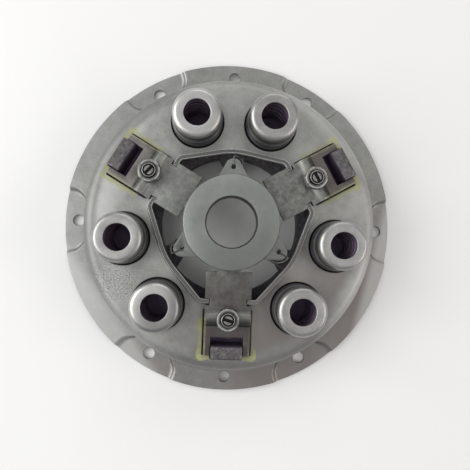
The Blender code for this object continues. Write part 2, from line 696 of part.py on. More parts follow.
def clip_path():
    """Up through the ear, out over its tip, down round it and outwards under the cover."""
    lift = CLIP_WIRE_RADIUS + GAP
    stem = EAR_HOLE_CIRCLE + EAR_HOLE_RADIUS - lift
    ear_low = EAR_TOP_Z - EAR_THICKNESS
    foot_z = COVER_UNDERSIDE_Z - lift
    loop = EAR_TIP_ROUND + CLIP_LOOP_CLEARANCE
    start_z = EAR_TOP_Z + lift
    end_z = ear_low - lift
    path = [(stem - CLIP_HOOK, 0.0, end_z), (stem, 0.0, end_z), (stem, 0.0, start_z)]
    pieces = 6
    for i in range(pieces + 1):
        share = i / pieces
        x, y = polar(loop, -CLIP_LOOP_ANGLE * share)
        path.append((EAR_HOLE_CIRCLE + x, y, start_z + (end_z - start_z) * share))
    x, y, z = path[-1]
    path.append((x, y, foot_z))
    path.append((LIP_ARC_RADIUS + CLIP_REACH, y, foot_z))
    return path


def build_clips(parts, material):
    clip = wire("clip", rounded_path(clip_path(), CLIP_BEND, 2), CLIP_WIRE_RADIUS, parts)
    for item in copies(clip, numbered("ring_clip", LEVER_COUNT), ear_angles(), parts):
        finish(item, material)


def build_cups(parts, material):
    shoulder = (CUP_RADIUS - CUP_SHOULDER, CUP_TOP_Z - CUP_SHOULDER)
    brim = (CUP_LOWER_RADIUS + CUP_BRIM_FILLET, CUP_BRIM_TOP_Z + CUP_BRIM_FILLET)
    profile = [(CUP_TOP_HOLE_RADIUS, CUP_TOP_Z)]
    profile += arc(shoulder, CUP_SHOULDER, 90.0, 0.0, 2)
    profile.append((CUP_RADIUS, CUP_STEP_Z))
    profile.append((CUP_LOWER_RADIUS, CUP_STEP_Z - CUP_WALL))
    profile += arc(brim, CUP_BRIM_FILLET, 180.0, 270.0, 1)
    profile.append((CUP_BRIM_RADIUS, CUP_BRIM_TOP_Z))
    cup = turned("cup", profile, CUP_STEPS, parts, closed=False)
    solidify(cup, CUP_WALL)
    cup = bake(cup, "cup", parts)
    cup.location.x = CUP_CIRCLE_RADIUS
    bpy.context.view_layer.update()
    axis = (CUP_CIRCLE_RADIUS, 0.0, 0.0)
    angles = cup_angles()
    for item in copies(cup, numbered("spring_cup", len(angles)), angles, parts, axis):
        finish(item, material)


def spring_points():
    """A coil whose end turns lie close and whose middle turns share the rest."""
    low = SPRING_LOW_Z + SPRING_WIRE_RADIUS
    high = SPRING_HIGH_Z - SPRING_WIRE_RADIUS
    end_pitch = 2 * SPRING_WIRE_RADIUS + SPRING_END_GAP
    end_rise = end_pitch * SPRING_END_TURNS
    middle_turns = SPRING_TURNS - 2 * SPRING_END_TURNS
    middle_pitch = (high - low - 2 * end_rise) / middle_turns
    count = round(SPRING_TURNS * SPRING_POINTS_PER_TURN)
    points = []
    for i in range(count + 1):
        turn = SPRING_TURNS * i / count
        from_low = min(turn, SPRING_END_TURNS)
        from_high = max(0.0, turn - SPRING_TURNS + SPRING_END_TURNS)
        middle = turn - from_low - from_high
        z = low + end_pitch * (from_low + from_high) + middle_pitch * middle
        x, y = polar(SPRING_MEAN_RADIUS, 360.0 * turn)
        points.append((x, y, z))
    return points


def build_springs(parts, material):
    spring = wire("spring", spring_points(), SPRING_WIRE_RADIUS, parts)
    spring.location.x = CUP_CIRCLE_RADIUS
    bpy.context.view_layer.update()
    axis = (CUP_CIRCLE_RADIUS, 0.0, 0.0)
    angles = cup_angles()
    for item in copies(spring, numbered("thrust_spring", len(angles)), angles, parts, axis):
        finish(item, material)


def main():
    parts, cutters = start_scene()
    pressed = make_material("pressed_steel", (0.30, 0.30, 0.28), 0.42, 0.75)
    drawn = make_material("drawn_steel", (0.42, 0.41, 0.39), 0.30, 0.90)
    forged = make_material("lever_steel", (0.16, 0.155, 0.14), 0.50, 0.70)
    ground = make_material("ground_steel", (0.24, 0.25, 0.235), 0.38, 0.80)
    bright = make_material("bright_steel", (0.60, 0.60, 0.58), 0.22, 1.00)
    cast = make_material("cast_iron", (0.13, 0.12, 0.125), 0.62, 0.55)
    spring = make_material("spring_steel", (0.05, 0.05, 0.055), 0.45, 0.60)
    build_cover(parts, cutters, pressed)
    build_pressure_plate(parts, cutters, cast)
    build_levers(parts, cutters, forged)
    build_studs(parts, cutters, bright)
    build_nuts(parts, cutters, bright)
    build_release_ring(parts, cutters, ground)
    build_clips(parts, bright)
    build_cups(parts, drawn)
    build_springs(parts, spring)


main()
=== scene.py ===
import math
from functools import reduce

import bmesh
import bpy
from mathutils import Matrix, Vector


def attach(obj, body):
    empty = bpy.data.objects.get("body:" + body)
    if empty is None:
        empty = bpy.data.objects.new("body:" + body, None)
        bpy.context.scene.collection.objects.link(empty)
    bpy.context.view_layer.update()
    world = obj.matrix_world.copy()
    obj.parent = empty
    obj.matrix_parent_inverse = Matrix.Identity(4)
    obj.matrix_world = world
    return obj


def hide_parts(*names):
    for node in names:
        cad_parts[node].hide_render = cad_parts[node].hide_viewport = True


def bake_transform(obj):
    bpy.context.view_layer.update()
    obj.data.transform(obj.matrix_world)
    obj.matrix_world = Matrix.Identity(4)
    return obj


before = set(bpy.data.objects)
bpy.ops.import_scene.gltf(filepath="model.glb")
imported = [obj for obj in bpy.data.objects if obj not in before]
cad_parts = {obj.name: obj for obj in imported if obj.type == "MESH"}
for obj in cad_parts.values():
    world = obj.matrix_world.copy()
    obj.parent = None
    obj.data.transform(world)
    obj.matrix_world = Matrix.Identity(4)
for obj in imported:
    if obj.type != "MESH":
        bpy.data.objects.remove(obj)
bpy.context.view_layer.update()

mm = 0.001
leverAngles = [30.0, 150.0, 270.0]
earAngles = [90.0, 210.0, 330.0]
gap = 0.3 * mm


# Plane and path helpers
def polar(radius, degrees):
    angle = math.radians(degrees)
    return (radius * math.cos(angle), radius * math.sin(angle))


def arc(centre, radius, start, end, pieces):
    points = []
    for i in range(pieces + 1):
        x, y = polar(radius, start + (end - start) * i / pieces)
        points.append((centre[0] + x, centre[1] + y))
    return points


def circle(centre, radius, sides):
    return arc(centre, radius, 0.0, 360.0 - 360.0 / sides, sides - 1)


def circlesAt(angles, distance, radius, sides):
    return [circle(polar(distance, angle), radius, sides) for angle in angles]


def rectangle(low, high):
    return [(low[0], low[1]), (high[0], low[1]), (high[0], high[1]), (low[0], high[1])]


def cornerCurve(before, corner, after, reach, pieces):
    # a corner drawn as a short curve between its two neighbours
    arms = [other - corner for other in (before, after)]
    start, end = [corner + arm.normalized() * min(reach, arm.length / 2) for arm in arms]
    steps = [i / pieces for i in range(pieces + 1)]
    return [start.lerp(corner, t).lerp(corner.lerp(end, t), t) for t in steps]


def softCornered(points, reach, pieces):
    outline = []
    places = [Vector(point) for point in points]
    for i, corner in enumerate(places):
        after = places[(i + 1) % len(places)]
        curve = cornerCurve(places[i - 1], corner, after, reach, pieces)
        outline += [tuple(place) for place in curve]
    return outline


def roundedPath(points, reach, pieces):
    places = [Vector(point) for point in points]
    path = [places[0]]
    for before, corner, after in zip(places, places[1:], places[2:]):
        path += cornerCurve(before, corner, after, reach, pieces)
    return path + [places[-1]]


def turnedBy(points, degrees):
    spin = Matrix.Rotation(math.radians(degrees), 2)
    return [tuple(spin @ Vector(point)) for point in points]


# Mesh helpers
def addPiece(name, data):
    piece = bpy.data.objects.new(name, data)
    bpy.context.scene.collection.objects.link(piece)
    return piece


def drop(*pieces):
    for piece in pieces:
        bpy.data.objects.remove(piece, do_unlink=True)


def pieceOf(name, form):
    mesh = bpy.data.meshes.new(name)
    form.to_mesh(mesh)
    form.free()
    return addPiece(name, mesh)


def settled(piece, name):
    # the evaluated piece as a plain mesh at the origin
    bpy.context.view_layer.update()
    evaluated = piece.evaluated_get(bpy.context.evaluated_depsgraph_get())
    mesh = bpy.data.meshes.new_from_object(evaluated)
    mesh.name = name
    form = bmesh.new()
    form.from_mesh(mesh)
    bmesh.ops.remove_doubles(form, verts=form.verts, dist=0.002 * mm)
    form.to_mesh(mesh)
    form.free()
    mesh.transform(piece.matrix_world)
    drop(piece)
    return addPiece(name, mesh)


def curveOf(name, dimensions):
    curve = bpy.data.curves.new(name, "CURVE")
    curve.dimensions = dimensions
    return curve


def addSpline(curve, points):
    spline = curve.splines.new("POLY")
    spline.points.add(len(points) - 1)
    for point, place in zip(spline.points, points):
        point.co = (*place, 1.0)
    return spline


def sheetOf(name, outlines, low, high):
    curve = curveOf(name, "2D")
    curve.fill_mode = "BOTH"
    curve.extrude = (high - low) / 2
    for outline in outlines:
        addSpline(curve, [(x, y, 0.0) for x, y in outline]).use_cyclic_u = True
    piece = addPiece(name, curve)
    piece.location.z = (high + low) / 2
    return settled(piece, name)


def standing(name, outline, width):
    # a side view given its width, stood up along X
    piece = sheetOf(name, [outline], -width / 2, width / 2)
    piece.data.transform(Matrix.Rotation(math.radians(90.0), 4, "X"))
    return piece


def wireOf(name, points, radius):
    curve = curveOf(name, "3D")
    curve.bevel_depth = radius
    curve.bevel_resolution = 5
    curve.use_fill_caps = True
    addSpline(curve, points)
    return settled(addPiece(name, curve), name)


def turned(name, profile, steps, closed=True):
    count = len(profile)
    edges = [(i, (i + 1) % count) for i in range(count if closed else count - 1)]
    mesh = bpy.data.meshes.new(name)
    mesh.from_pydata([(radius, 0.0, z) for radius, z in profile], edges, [])
    piece = addPiece(name, mesh)
    screw = piece.modifiers.new("turn", "SCREW")
    screw.angle = math.tau
    screw.steps = steps
    screw.render_steps = steps
    screw.use_merge_vertices = True
    screw.merge_threshold = 0.001 * mm
    return piece


def solidTurned(name, profile, steps):
    # a profile that starts and ends on the axis
    return settled(turned(name, profile, steps, closed=False), name)


def combine(piece, operation, tool):
    step = piece.modifiers.new(tool.name, "BOOLEAN")
    step.operation = operation
    step.solver = "EXACT"
    step.object = tool
    return tool


def thicken(piece, thickness):
    wall = piece.modifiers.new("wall", "SOLIDIFY")
    wall.thickness = thickness
    wall.offset = -1.0
    return wall


def softEdges(piece, width, segments):
    step = piece.modifiers.new("edges", "BEVEL")
    step.width = width
    step.segments = segments
    step.limit_method = "ANGLE"
    step.angle_limit = math.radians(40.0)
    step.miter_outer = "MITER_ARC"


def dress(piece, material, smoothAngle=38.0):
    piece.data.materials.clear()
    piece.data.materials.append(material)
    piece.data.shade_smooth()
    piece.data.set_sharp_from_angle(angle=math.radians(smoothAngle))


def spunCopies(name, source, angles):
    # one mesh that holds the source once for each angle
    form = bmesh.new()
    for angle in angles:
        copy = source.data.copy()
        copy.transform(Matrix.Rotation(math.radians(angle), 4, "Z"))
        form.from_mesh(copy)
        bpy.data.meshes.remove(copy)
    return pieceOf(name, form)


def onStudAxes(name, source, turns):
    # the source once on each stud's axis, turned about it
    pieces = []
    for i, angle in enumerate(leverAngles):
        piece = addPiece(f"{name}{i + 1}", source.data.copy())
        spin = Matrix.Rotation(math.radians(turns[i]), 4, "Z")
        piece.data.transform(Matrix.Translation((*polar(studSizes["circle"], angle), 0.0)) @ spin)
        pieces.append(piece)
    drop(source)
    return pieces


# Shader maths: a socket that takes part in sums
class Signal:
    def __init__(self, finish, socket):
        self.finish = finish
        self.socket = socket

    def __add__(self, other):
        return self.finish.sum("ADD", self, other)

    def __radd__(self, other):
        return self.finish.sum("ADD", other, self)

    def __sub__(self, other):
        return self.finish.sum("SUBTRACT", self, other)

    def __rsub__(self, other):
        return self.finish.sum("SUBTRACT", other, self)

    def __mul__(self, other):
        return self.finish.sum("MULTIPLY", self, other)

    def __rmul__(self, other):
        return self.finish.sum("MULTIPLY", other, self)

    def __pow__(self, other):
        return self.finish.sum("POWER", self, other)

    def __rpow__(self, other):
        return self.finish.sum("POWER", other, self)

    def smaller(self, other):
        return self.finish.sum("MINIMUM", self, other)

    def larger(self, other):
        return self.finish.sum("MAXIMUM", self, other)

    def size(self):
        return self.finish.sum("ABSOLUTE", self)

    def root(self):
        return self.finish.sum("SQRT", self)


def largest(*signals):
    return reduce(Signal.larger, signals)


def feedNode(item, settings, sockets, feed):
    # a keyword names a socket, with _ for a space, or i and its number
    for key, value in (settings or {}).items():
        if key == "stops":
            elements = item.color_ramp.elements
            while len(elements) < len(value):
                elements.new(0.5)
            for element, (position, colour) in zip(elements, value):
                element.position = position
                element.color = (*colour, 1.0)
        else:
            setattr(item, key, value)
    for key, value in sockets.items():
        feed(item.inputs[int(key[1:]) if key[1:].isdigit() else key.replace("_", " ")], value)
    return item


# A material and the masks that its stains, and the light and shade painted into it, are drawn with,
# whose places are in mm
class Finish:
    def __init__(self, name):
        self.material = bpy.data.materials.new(name)
        self.material.use_nodes = True
        self.tree = self.material.node_tree
        self.shader = self.tree.nodes["Principled BSDF"]
        place = self.node("ShaderNodeTexCoord")
        self.place = self.out(place, "Object")
        split = self.node("ShaderNodeSeparateXYZ", Vector=self.place)
        self.x, self.y, self.z = [self.out(split, axis) for axis in "XYZ"]

    def feed(self, socket, value):
        if isinstance(value, Signal):
            self.tree.links.new(value.socket, socket)
        elif isinstance(value, (tuple, list)) and len(value) == 3 and socket.type == "RGBA":
            socket.default_value = (*value, 1.0)
        else:
            socket.default_value = value

    def node(self, kind, settings=None, **sockets):
        return feedNode(self.tree.nodes.new(kind), settings, sockets, self.feed)

    def out(self, item, output=0):
        return Signal(self, item.outputs[output])

    def sum(self, operation, *values):
        sockets = {f"i{i}": value for i, value in enumerate(values)}
        return self.out(self.node("ShaderNodeMath", {"operation": operation}, **sockets))

    def noise(self, scale, detail=3.0, roughness=0.5, stretch=None):
        where = self.place
        if stretch:
            where = self.out(self.node("ShaderNodeMapping", Vector=self.place, Scale=stretch))
        sockets = {"Vector": where, "Scale": scale, "Detail": detail, "Roughness": roughness}
        return self.out(self.node("ShaderNodeTexNoise", **sockets))

    def step(self, value, low, high):
        # 0 below low, 1 above high, smooth between
        settings = {"interpolation_type": "SMOOTHSTEP"}
        ramp = self.node("ShaderNodeMapRange", settings, Value=value, From_Min=low, From_Max=high)
        return self.out(ramp)

    def rise(self, value, low, high):
        return self.step(value, low * mm, high * mm)

    def fall(self, value, low, high):
        return 1.0 - self.rise(value, low, high)

    def band(self, value, low, lowEnd, high, highEnd):
        return self.rise(value, low, lowEnd) * self.fall(value, high, highEnd)

    def along(self, x, y):
        return self.x * x + self.y * y

    def toward(self, x, y, low, high):
        # a mask that rises in a direction seen from above
        return self.rise(self.along(x, y), low, high)

    def fromAxis(self):
        return (self.x * self.x + self.y * self.y).root()

    def fromPoint(self, x, y):
        return ((self.x - x) ** 2.0 + (self.y - y) ** 2.0).root()

    def colours(self, value, *stops):
        return self.out(self.node("ShaderNodeValToRGB", {"stops": stops}, Fac=value))

    def blendColour(self, factor, first, second):
        mix = self.node("ShaderNodeMix", {"data_type": "RGBA"}, i0=factor, i6=first, i7=second)
        return self.out(mix, 2)

    # blends a stain, or a painted light or shade, over the base where the mask rises
    def stainOrPaintedLight(self, base, mask, stain):
        strength, colour = stain
        return self.blendColour(mask * strength, base, colour)

    def edges(self, radius):
        # 1 along sharp outer edges, where a rounded normal leaves the face's own
        rounding = self.out(self.node("ShaderNodeBevel", {"samples": 6}, Radius=radius))
        face = self.out(self.node("ShaderNodeNewGeometry"), "Normal")
        same = self.node("ShaderNodeVectorMath", {"operation": "DOT_PRODUCT"}, i0=rounding, i1=face)
        return 1.0 - self.step(self.out(same, "Value"), 0.80, 0.97)

    def bump(self, height, distance, strength=1.0, edge=0.0):
        sockets = {"Height": height, "Distance": distance, "Strength": strength}
        if edge:
            sockets["Normal"] = self.out(self.node("ShaderNodeBevel", {"samples": 4}, Radius=edge))
        self.set(Normal=self.out(self.node("ShaderNodeBump", **sockets)))

    def set(self, **sockets):
        for key, value in sockets.items():
            self.feed(self.shader.inputs[key.replace("_", " ")], value)
        return self.material


# Finishes. Each stain, and each painted light or shade, is its strength and colour. Where a mask
# rises, and falls again, is in mm, and a side starts with the direction that it lies in
pressedLook = {
    "sheet": (
        (0.38, (0.268, 0.268, 0.252)),
        (0.5, (0.345, 0.345, 0.328)),
        (0.62, (0.420, 0.420, 0.402)),
    ),
    "lipFoot": (0.90, (0.050, 0.049, 0.048)),
    "lipFootHeight": (30.03, 30.10, 30.90, 31.50),
    "lipWall": (0.80, (0.640, 0.640, 0.620)),
    "lipWallHeight": (31.2, 32.2),
    "lipCrest": (0.90, (0.100, 0.100, 0.097)),
    "lipCrestHeight": (34.36, 34.46),
    "paintedEdgeHighlight": (0.950, 0.950, 0.930),
    "edgeHighlightHeight": (31.0, 33.0),
    "shoulderRadius": (76.0, 83.0, 94.0, 97.0),
    "flange": (0.20, (0.190, 0.190, 0.182)),
    "flangeRadius": (95.0, 97.0),
    "dim": (0.160, 0.158, 0.152),
    "dimLow": (0.30, -0.95, 53.0, 78.0),
    "dimLeft": (-0.94, 0.34, 40.0, 75.0),
    "dimLeftRadius": (81.0, 85.0),
    "filmAndShade": (0.232, 0.207, 0.196),
    "filmAndShadeSide": (0.5, -0.86, 0.0, 90.0),
    "paintedLight": (0.48, (0.640, 0.640, 0.620)),
    "litFlangeLeft": (-0.79, -0.61, 90.0, 99.0),
    "litFlangeRight": (0.97, -0.24, 95.0, 102.0),
    "litDomeLeft": (-0.95, 0.30, 64.0, 74.0),
    "litDomeLeftRadius": (80.0, 84.0),
    "litDomeTop": (0.70, 0.70, 76.0, 85.0),
    "litDomeLow": (0.90, -0.44, 78.0, 88.0),
    "litDomeLowHeight": (12.0, 20.0),
    "speck": (0.085, 0.080, 0.075),
    "rubbedPatch": (0.45, (0.62, 0.62, 0.60)),
    "patchPlace": (-68.8 * mm, -38.2 * mm),
    "patchRadius": (7.0, 17.0),
    "patchHeight": (20.0, 28.0),
    "paint": (0.390, 0.405, 0.170),
}
# marking paint round the windows, with its strength at the outer edge and the two sides
paintLook = {
    "strength": {30.0: (0.9, 0.55, 0.95), 150.0: (0.95, 0.75, 0.6), 270.0: (1.0, 0.2, 1.0)},
    "inner": 59.5 * mm,
    "outer": 80.8 * mm,
    "half": 15.0 * mm,
    "wobble": 3.2 * mm,
    "width": (1.6, 3.0),
    "corner": 1.0 * mm,
    "cornerAlong": (72.0, 81.0),
    "cornerAcross": (9.0, 14.0),
    "sides": (-12.0, 12.0),
    "outerEdge": (80.6, 81.2),
    "height": (28.5, 29.5),
    "fade": 0.6,
}


def pressedSteel():
    look = Finish("pressedSteel")
    c = pressedLook
    cloud = look.noise(22.0, 5.0, 0.55)
    grain = look.noise(190.0, 5.0, 0.6) * 0.6 + look.noise(900.0, 4.0, 0.6) * 0.4
    base = look.colours(cloud * 0.45 + grain * 0.55, *c["sheet"])
    # painted shade in the bend of the lip, a painted reflection on its wall, painted shade on its
    # crest, and painted highlights along its edges
    paintedEdgeHighlight = look.step(look.edges(0.9 * mm), 0.15, 0.55) * look.rise(look.z, *c["edgeHighlightHeight"])
    base = look.stainOrPaintedLight(base, look.band(look.z, *c["lipFootHeight"]), c["lipFoot"])
    base = look.stainOrPaintedLight(base, look.rise(look.z, *c["lipWallHeight"]), c["lipWall"])
    base = look.stainOrPaintedLight(base, look.rise(look.z, *c["lipCrestHeight"]), c["lipCrest"])
    base = look.blendColour(paintedEdgeHighlight, base, c["paintedEdgeHighlight"])
    radius = look.fromAxis()
    dome = look.fall(radius, *c["flangeRadius"])
    base = look.stainOrPaintedLight(base, 1.0 - dome, c["flange"])
    # painted shade low on the dome and round its left shoulder
    left = look.rise(radius, *c["dimLeftRadius"]) * look.toward(*c["dimLeft"])
    dim = largest(look.toward(*c["dimLow"]) * 0.5, left * 0.45)
    base = look.blendColour(dim * dome, base, c["dim"])
    # an oily brown film toward the lower right, made darker to paint the shade there as well
    shoulder = look.band(radius, *c["shoulderRadius"])
    filmAndShade = look.toward(*c["filmAndShadeSide"]) * look.step(look.noise(12.0), 0.2, 0.6)
    base = look.blendColour(filmAndShade * (1.0 - shoulder * 0.9), base, c["filmAndShade"])
    # painted light on the flange's lower left and right, then at three places on the dome, the
    # lower right one a painted highlight on the shoulder
    paintedLight = largest(
        look.toward(*c["litFlangeLeft"]),
        look.toward(*c["litFlangeRight"]),
        look.toward(*c["litDomeLeft"]) * look.fall(radius, *c["litDomeLeftRadius"]) * 0.8,
        look.toward(*c["litDomeTop"]) * dome * 0.8,
        look.toward(*c["litDomeLow"]) * look.rise(look.z, *c["litDomeLowHeight"]) * 0.9,
    )
    base = look.stainOrPaintedLight(base, paintedLight, c["paintedLight"])
    # a rubbed patch beside the left cups, pitted dark and bright
    patch = look.fall(look.fromPoint(*c["patchPlace"]), *c["patchRadius"])
    patch = patch * look.rise(look.z, *c["patchHeight"])
    pits = look.noise(1100.0, 3.0, 0.7)
    specks = look.step(look.noise(900.0, 2.0), 0.68, 0.74)
    specks = specks * look.step(look.noise(60.0, 2.0), 0.45, 0.65) * 0.5
    specks = specks.larger(look.step(pits, 0.56, 0.64) * patch * 0.85)
    base = look.blendColour(specks, base, c["speck"])
    base = look.stainOrPaintedLight(base, (1.0 - look.step(pits, 0.40, 0.50)) * patch, c["rubbedPatch"])
    paint = windowPaint(look)
    base = look.blendColour(paint, base, c["paint"])
    metallic = 0.86 - paint * 0.75 - paintedEdgeHighlight * 0.45
    roughness = 0.35 + cloud * 0.12 + grain * 0.10
    roughness = roughness + paint * 0.25 + shoulder * 0.10 - paintedEdgeHighlight * 0.10
    look.bump(grain + look.noise(90.0) * 0.5 + pits * patch * 1.5, 0.06 * mm, 0.8, 0.6 * mm)
    return look.set(Base_Color=base, Metallic=metallic, Roughness=roughness)


def windowPaint(look, innerSide=0.0):
    # thin, and thickest at the outer corners
    c = paintLook
    wobble = (look.noise(260.0, 4.0, 0.6) - 0.5) * c["wobble"]
    patchy = look.step(look.noise(150.0, 4.0, 0.7), 0.36, 0.60)
    amounts = []
    for angle, (outer, left, right) in c["strength"].items():
        ux, uy = polar(1.0, angle)
        along = look.along(ux, uy)
        across = look.along(-uy, ux)
        off = [c["inner"] - along, along - c["outer"], across.size() - c["half"]]
        away = reduce(Signal.__add__, [reach.larger(0.0) ** 2.0 for reach in off]).root() + wobble
        corner = look.rise(along, *c["cornerAlong"]) * look.rise(across.size(), *c["cornerAcross"])
        strip = look.fall(away - corner * c["corner"], *c["width"])
        strength = right + look.rise(across, *c["sides"]) * (left - right)
        strength = strength.larger(corner * 0.9)
        strength = strength + look.rise(along, *c["outerEdge"]) * (outer - strength)
        edge = look.rise(across.size(), innerSide, innerSide + c["fade"])
        amounts.append(strip * strength * (0.42 + patchy * 0.55) * edge)
    return largest(*amounts) * look.rise(look.z, *c["height"])


drawnLook = {
    "top": (
        (0.34, (0.300, 0.292, 0.285)),
        (0.52, (0.385, 0.380, 0.368)),
        (0.68, (0.470, 0.465, 0.452)),
    ),
    "side": ((0.3, (0.120, 0.120, 0.124)), (0.7, (0.250, 0.250, 0.256))),
    "topHeight": (47.0, 51.2),
    "under": (0.8, (0.052, 0.052, 0.054)),
    "underHeight": (43.0, 45.0, 47.0, 49.5),
    "step": (0.8, (0.520, 0.515, 0.520)),
    "stepHeight": (38.4, 38.9, 39.2, 39.7),
    "lower": (0.6, (0.110, 0.098, 0.118)),
    "lowerHeight": (37.8, 38.6),
    "pale": (0.50, (0.660, 0.652, 0.630)),
    "paleSide": (-1.0, 0.0, 5.0, 20.0),
    "paleOff": (20.0, 40.0),
    "paintedShade": (0.65, (0.150, 0.147, 0.142)),
    "paintedShadeSides": ((0.70, -0.70, -3.0, 13.0), (-1.0, 0.0, 20.0, 23.0), (0.0, -1.0, 28.0, 32.0)),
    "scale": (0.6, (0.085, 0.075, 0.085)),
    "scaleHeight": (29.0, 33.0),
}


def drawnSteel():
    look = Finish("drawnSteel")
    c = drawnLook
    cloud = look.noise(75.0, 5.0, 0.65)
    fine = look.noise(1100.0, 3.0, 0.6)
    lines = look.noise(45.0, 3.0, 0.6, (1.0, 1.0, 14.0))
    # painted shade under the shoulder, a painted highlight on the step, darker and purplish below
    # it; the wall is painted darker than the top, as shade
    side = look.colours(lines, *c["side"])
    side = look.stainOrPaintedLight(side, look.band(look.z, *c["underHeight"]), c["under"])
    side = look.stainOrPaintedLight(side, look.band(look.z, *c["stepHeight"]), c["step"])
    side = look.stainOrPaintedLight(side, look.fall(look.z, *c["lowerHeight"]), c["lower"])
    # painted light on the upper and the lower cup on the left, the palest
    top = look.colours(cloud * 0.7 + fine * 0.3, *c["top"])
    pale = look.toward(*c["paleSide"]) * look.rise(look.y.size(), *c["paleOff"])
    top = look.stainOrPaintedLight(top, pale, c["pale"])
    # painted shade on the lower left one's side away from the light
    paintedShade = reduce(Signal.__mul__, [look.toward(*side) for side in c["paintedShadeSides"]])
    top = look.stainOrPaintedLight(top, paintedShade, c["paintedShade"])
    high = look.rise(look.z, *c["topHeight"])
    base = look.blendColour(high, side, top)
    # darker and bluish brown inside the cup and low on its wall
    base = look.stainOrPaintedLight(base, look.fall(look.z, *c["scaleHeight"]), c["scale"])
    look.bump(lines * 0.6 + fine * 0.3 + cloud * 0.5, 0.05 * mm, 0.7, 0.3 * mm)
    roughness = 0.29 + cloud * 0.18 + (1.0 - high) * 0.08
    return look.set(Base_Color=base, Metallic=0.92, Roughness=roughness)


leverLook = {
    "skin": (
        (0.37, (0.135, 0.137, 0.125)),
        (0.52, (0.200, 0.205, 0.190)),
        (0.66, (0.270, 0.276, 0.257)),
    ),
    "outer": (0.75, (0.118, 0.104, 0.093)),
    "outerRadius": (60.0, 64.0),
    "pale": (0.28, (0.340, 0.345, 0.325)),
    "paleSide": (-0.86, 0.5, 15.0, 40.0),
    "low": (0.60, (0.092, 0.082, 0.077)),
    "lowSide": (0.0, -1.0, 20.0, 40.0),
    "inner": (0.45, (0.330, 0.325, 0.300)),
    "innerReach": (52.5, 54.0, 56.5, 58.0),
    "shaded": (0.75, (0.050, 0.058, 0.048)),
    "shadedReach": (58.5, 59.8, 62.2, 63.6),
    "stain": (0.095, 0.072, 0.075),
    "rust": (0.085, 0.050, 0.048),
    "rustPlace": (-0.8 * mm, -47.0 * mm),
    "rustRadius": (3.0, 8.5),
    "rustWobble": 10.0 * mm,
    "grime": (0.085, 0.078, 0.066),
    "grimeSide": (-0.86, 0.5, 58.0, 64.0),
    "paintInner": 12.6,
}


def leverSteel():
    look = Finish("leverSteel")
    c = leverLook
    mottle = look.noise(300.0, 6.0, 0.7)
    stains = look.step(look.noise(95.0, 4.0, 0.65), 0.50, 0.68)
    base = look.colours(mottle, *c["skin"])
    # painted shade, darker and browner, on the outer part, which lies down in the cover's window
    outer = look.rise(look.fromAxis(), *c["outerRadius"])
    base = look.stainOrPaintedLight(base, outer, c["outer"])
    # painted light on the upper left lever, the palest, and painted shade on the lowest one, the
    # darkest
    base = look.stainOrPaintedLight(base, look.toward(*c["paleSide"]), c["pale"])
    low = look.toward(*c["lowSide"])
    base = look.stainOrPaintedLight(base, low, c["low"])
    # the ridge: a painted highlight on its inner flank, painted shade, dark greenish, on its outer
    # one
    reach = largest(*[look.along(*polar(1.0, angle)) for angle in leverAngles])
    base = look.stainOrPaintedLight(base, look.band(reach, *c["innerReach"]), c["inner"])
    base = look.stainOrPaintedLight(base, look.band(reach, *c["shadedReach"]), c["shaded"])
    base = look.blendColour(stains * (0.25 + outer * 0.2), base, c["stain"])
    # a rusty brown stain on the lowest lever, and grime on the upper left one's fork
    away = look.fromPoint(*c["rustPlace"]) + (look.noise(240.0) - 0.5) * c["rustWobble"]
    rust = look.fall(away, *c["rustRadius"]) * low
    base = look.blendColour(rust * (0.20 + stains * 0.35), base, c["rust"])
    base = look.blendColour(look.toward(*c["grimeSide"]) * (0.25 + stains * 0.35), base, c["grime"])
    # the marking paint runs over onto the side edges
    paint = windowPaint(look, c["paintInner"])
    base = look.blendColour(paint * 0.45, base, pressedLook["paint"])
    look.bump(mottle + look.noise(900.0) * 0.5, 0.08 * mm, 0.8, 0.4 * mm)
    return look.set(Base_Color=base, Metallic=0.78 - paint * 0.6, Roughness=0.38 + mottle * 0.2)


groundLook = {
    "face": ((0.3, (0.265, 0.273, 0.257)), (0.7, (0.335, 0.346, 0.327))),
    "paintedShade": (0.55, (0.150, 0.156, 0.147)),
    "paintedShadeSide": (0.6, -0.8, -20.0, 25.0),
    "spot": (0.45, (0.10, 0.098, 0.092)),
    "ear": (0.085, 0.090, 0.084),
    "earHeight": (44.1, 44.3),
    "earSide": (-1.0, 0.0, 0.0, 20.0),
    "chamfer": (0.85, (0.050, 0.050, 0.048)),
    "chamferRadius": (15.5, 15.9),
}


def groundSteel():
    look = Finish("groundSteel")
    c = groundLook
    base = look.colours(look.noise(60.0, 4.0, 0.55), *c["face"])
    # painted shade toward the lower right
    base = look.stainOrPaintedLight(base, look.toward(*c["paintedShadeSide"]), c["paintedShade"])
    spots = look.step(look.noise(520.0), 0.66, 0.74)
    base = look.stainOrPaintedLight(base, spots, c["spot"])
    # painted shade makes the ears darker than the ground face, the lower left one most
    ear = look.fall(look.z, *c["earHeight"]) * (0.35 + look.toward(*c["earSide"]) * 0.35)
    base = look.blendColour(ear, base, c["ear"])
    # painted shade on the bore's chamfer and wall
    base = look.stainOrPaintedLight(base, look.fall(look.fromAxis(), *c["chamferRadius"]), c["chamfer"])
    scratch = look.noise(55.0, 3.0, 0.6, (1.0, 9.0, 1.0))
    look.bump(scratch + spots * -0.4, 0.03 * mm, 0.7, 0.4 * mm)
    return look.set(Base_Color=base, Metallic=0.85, Roughness=0.33 + scratch * 0.12)


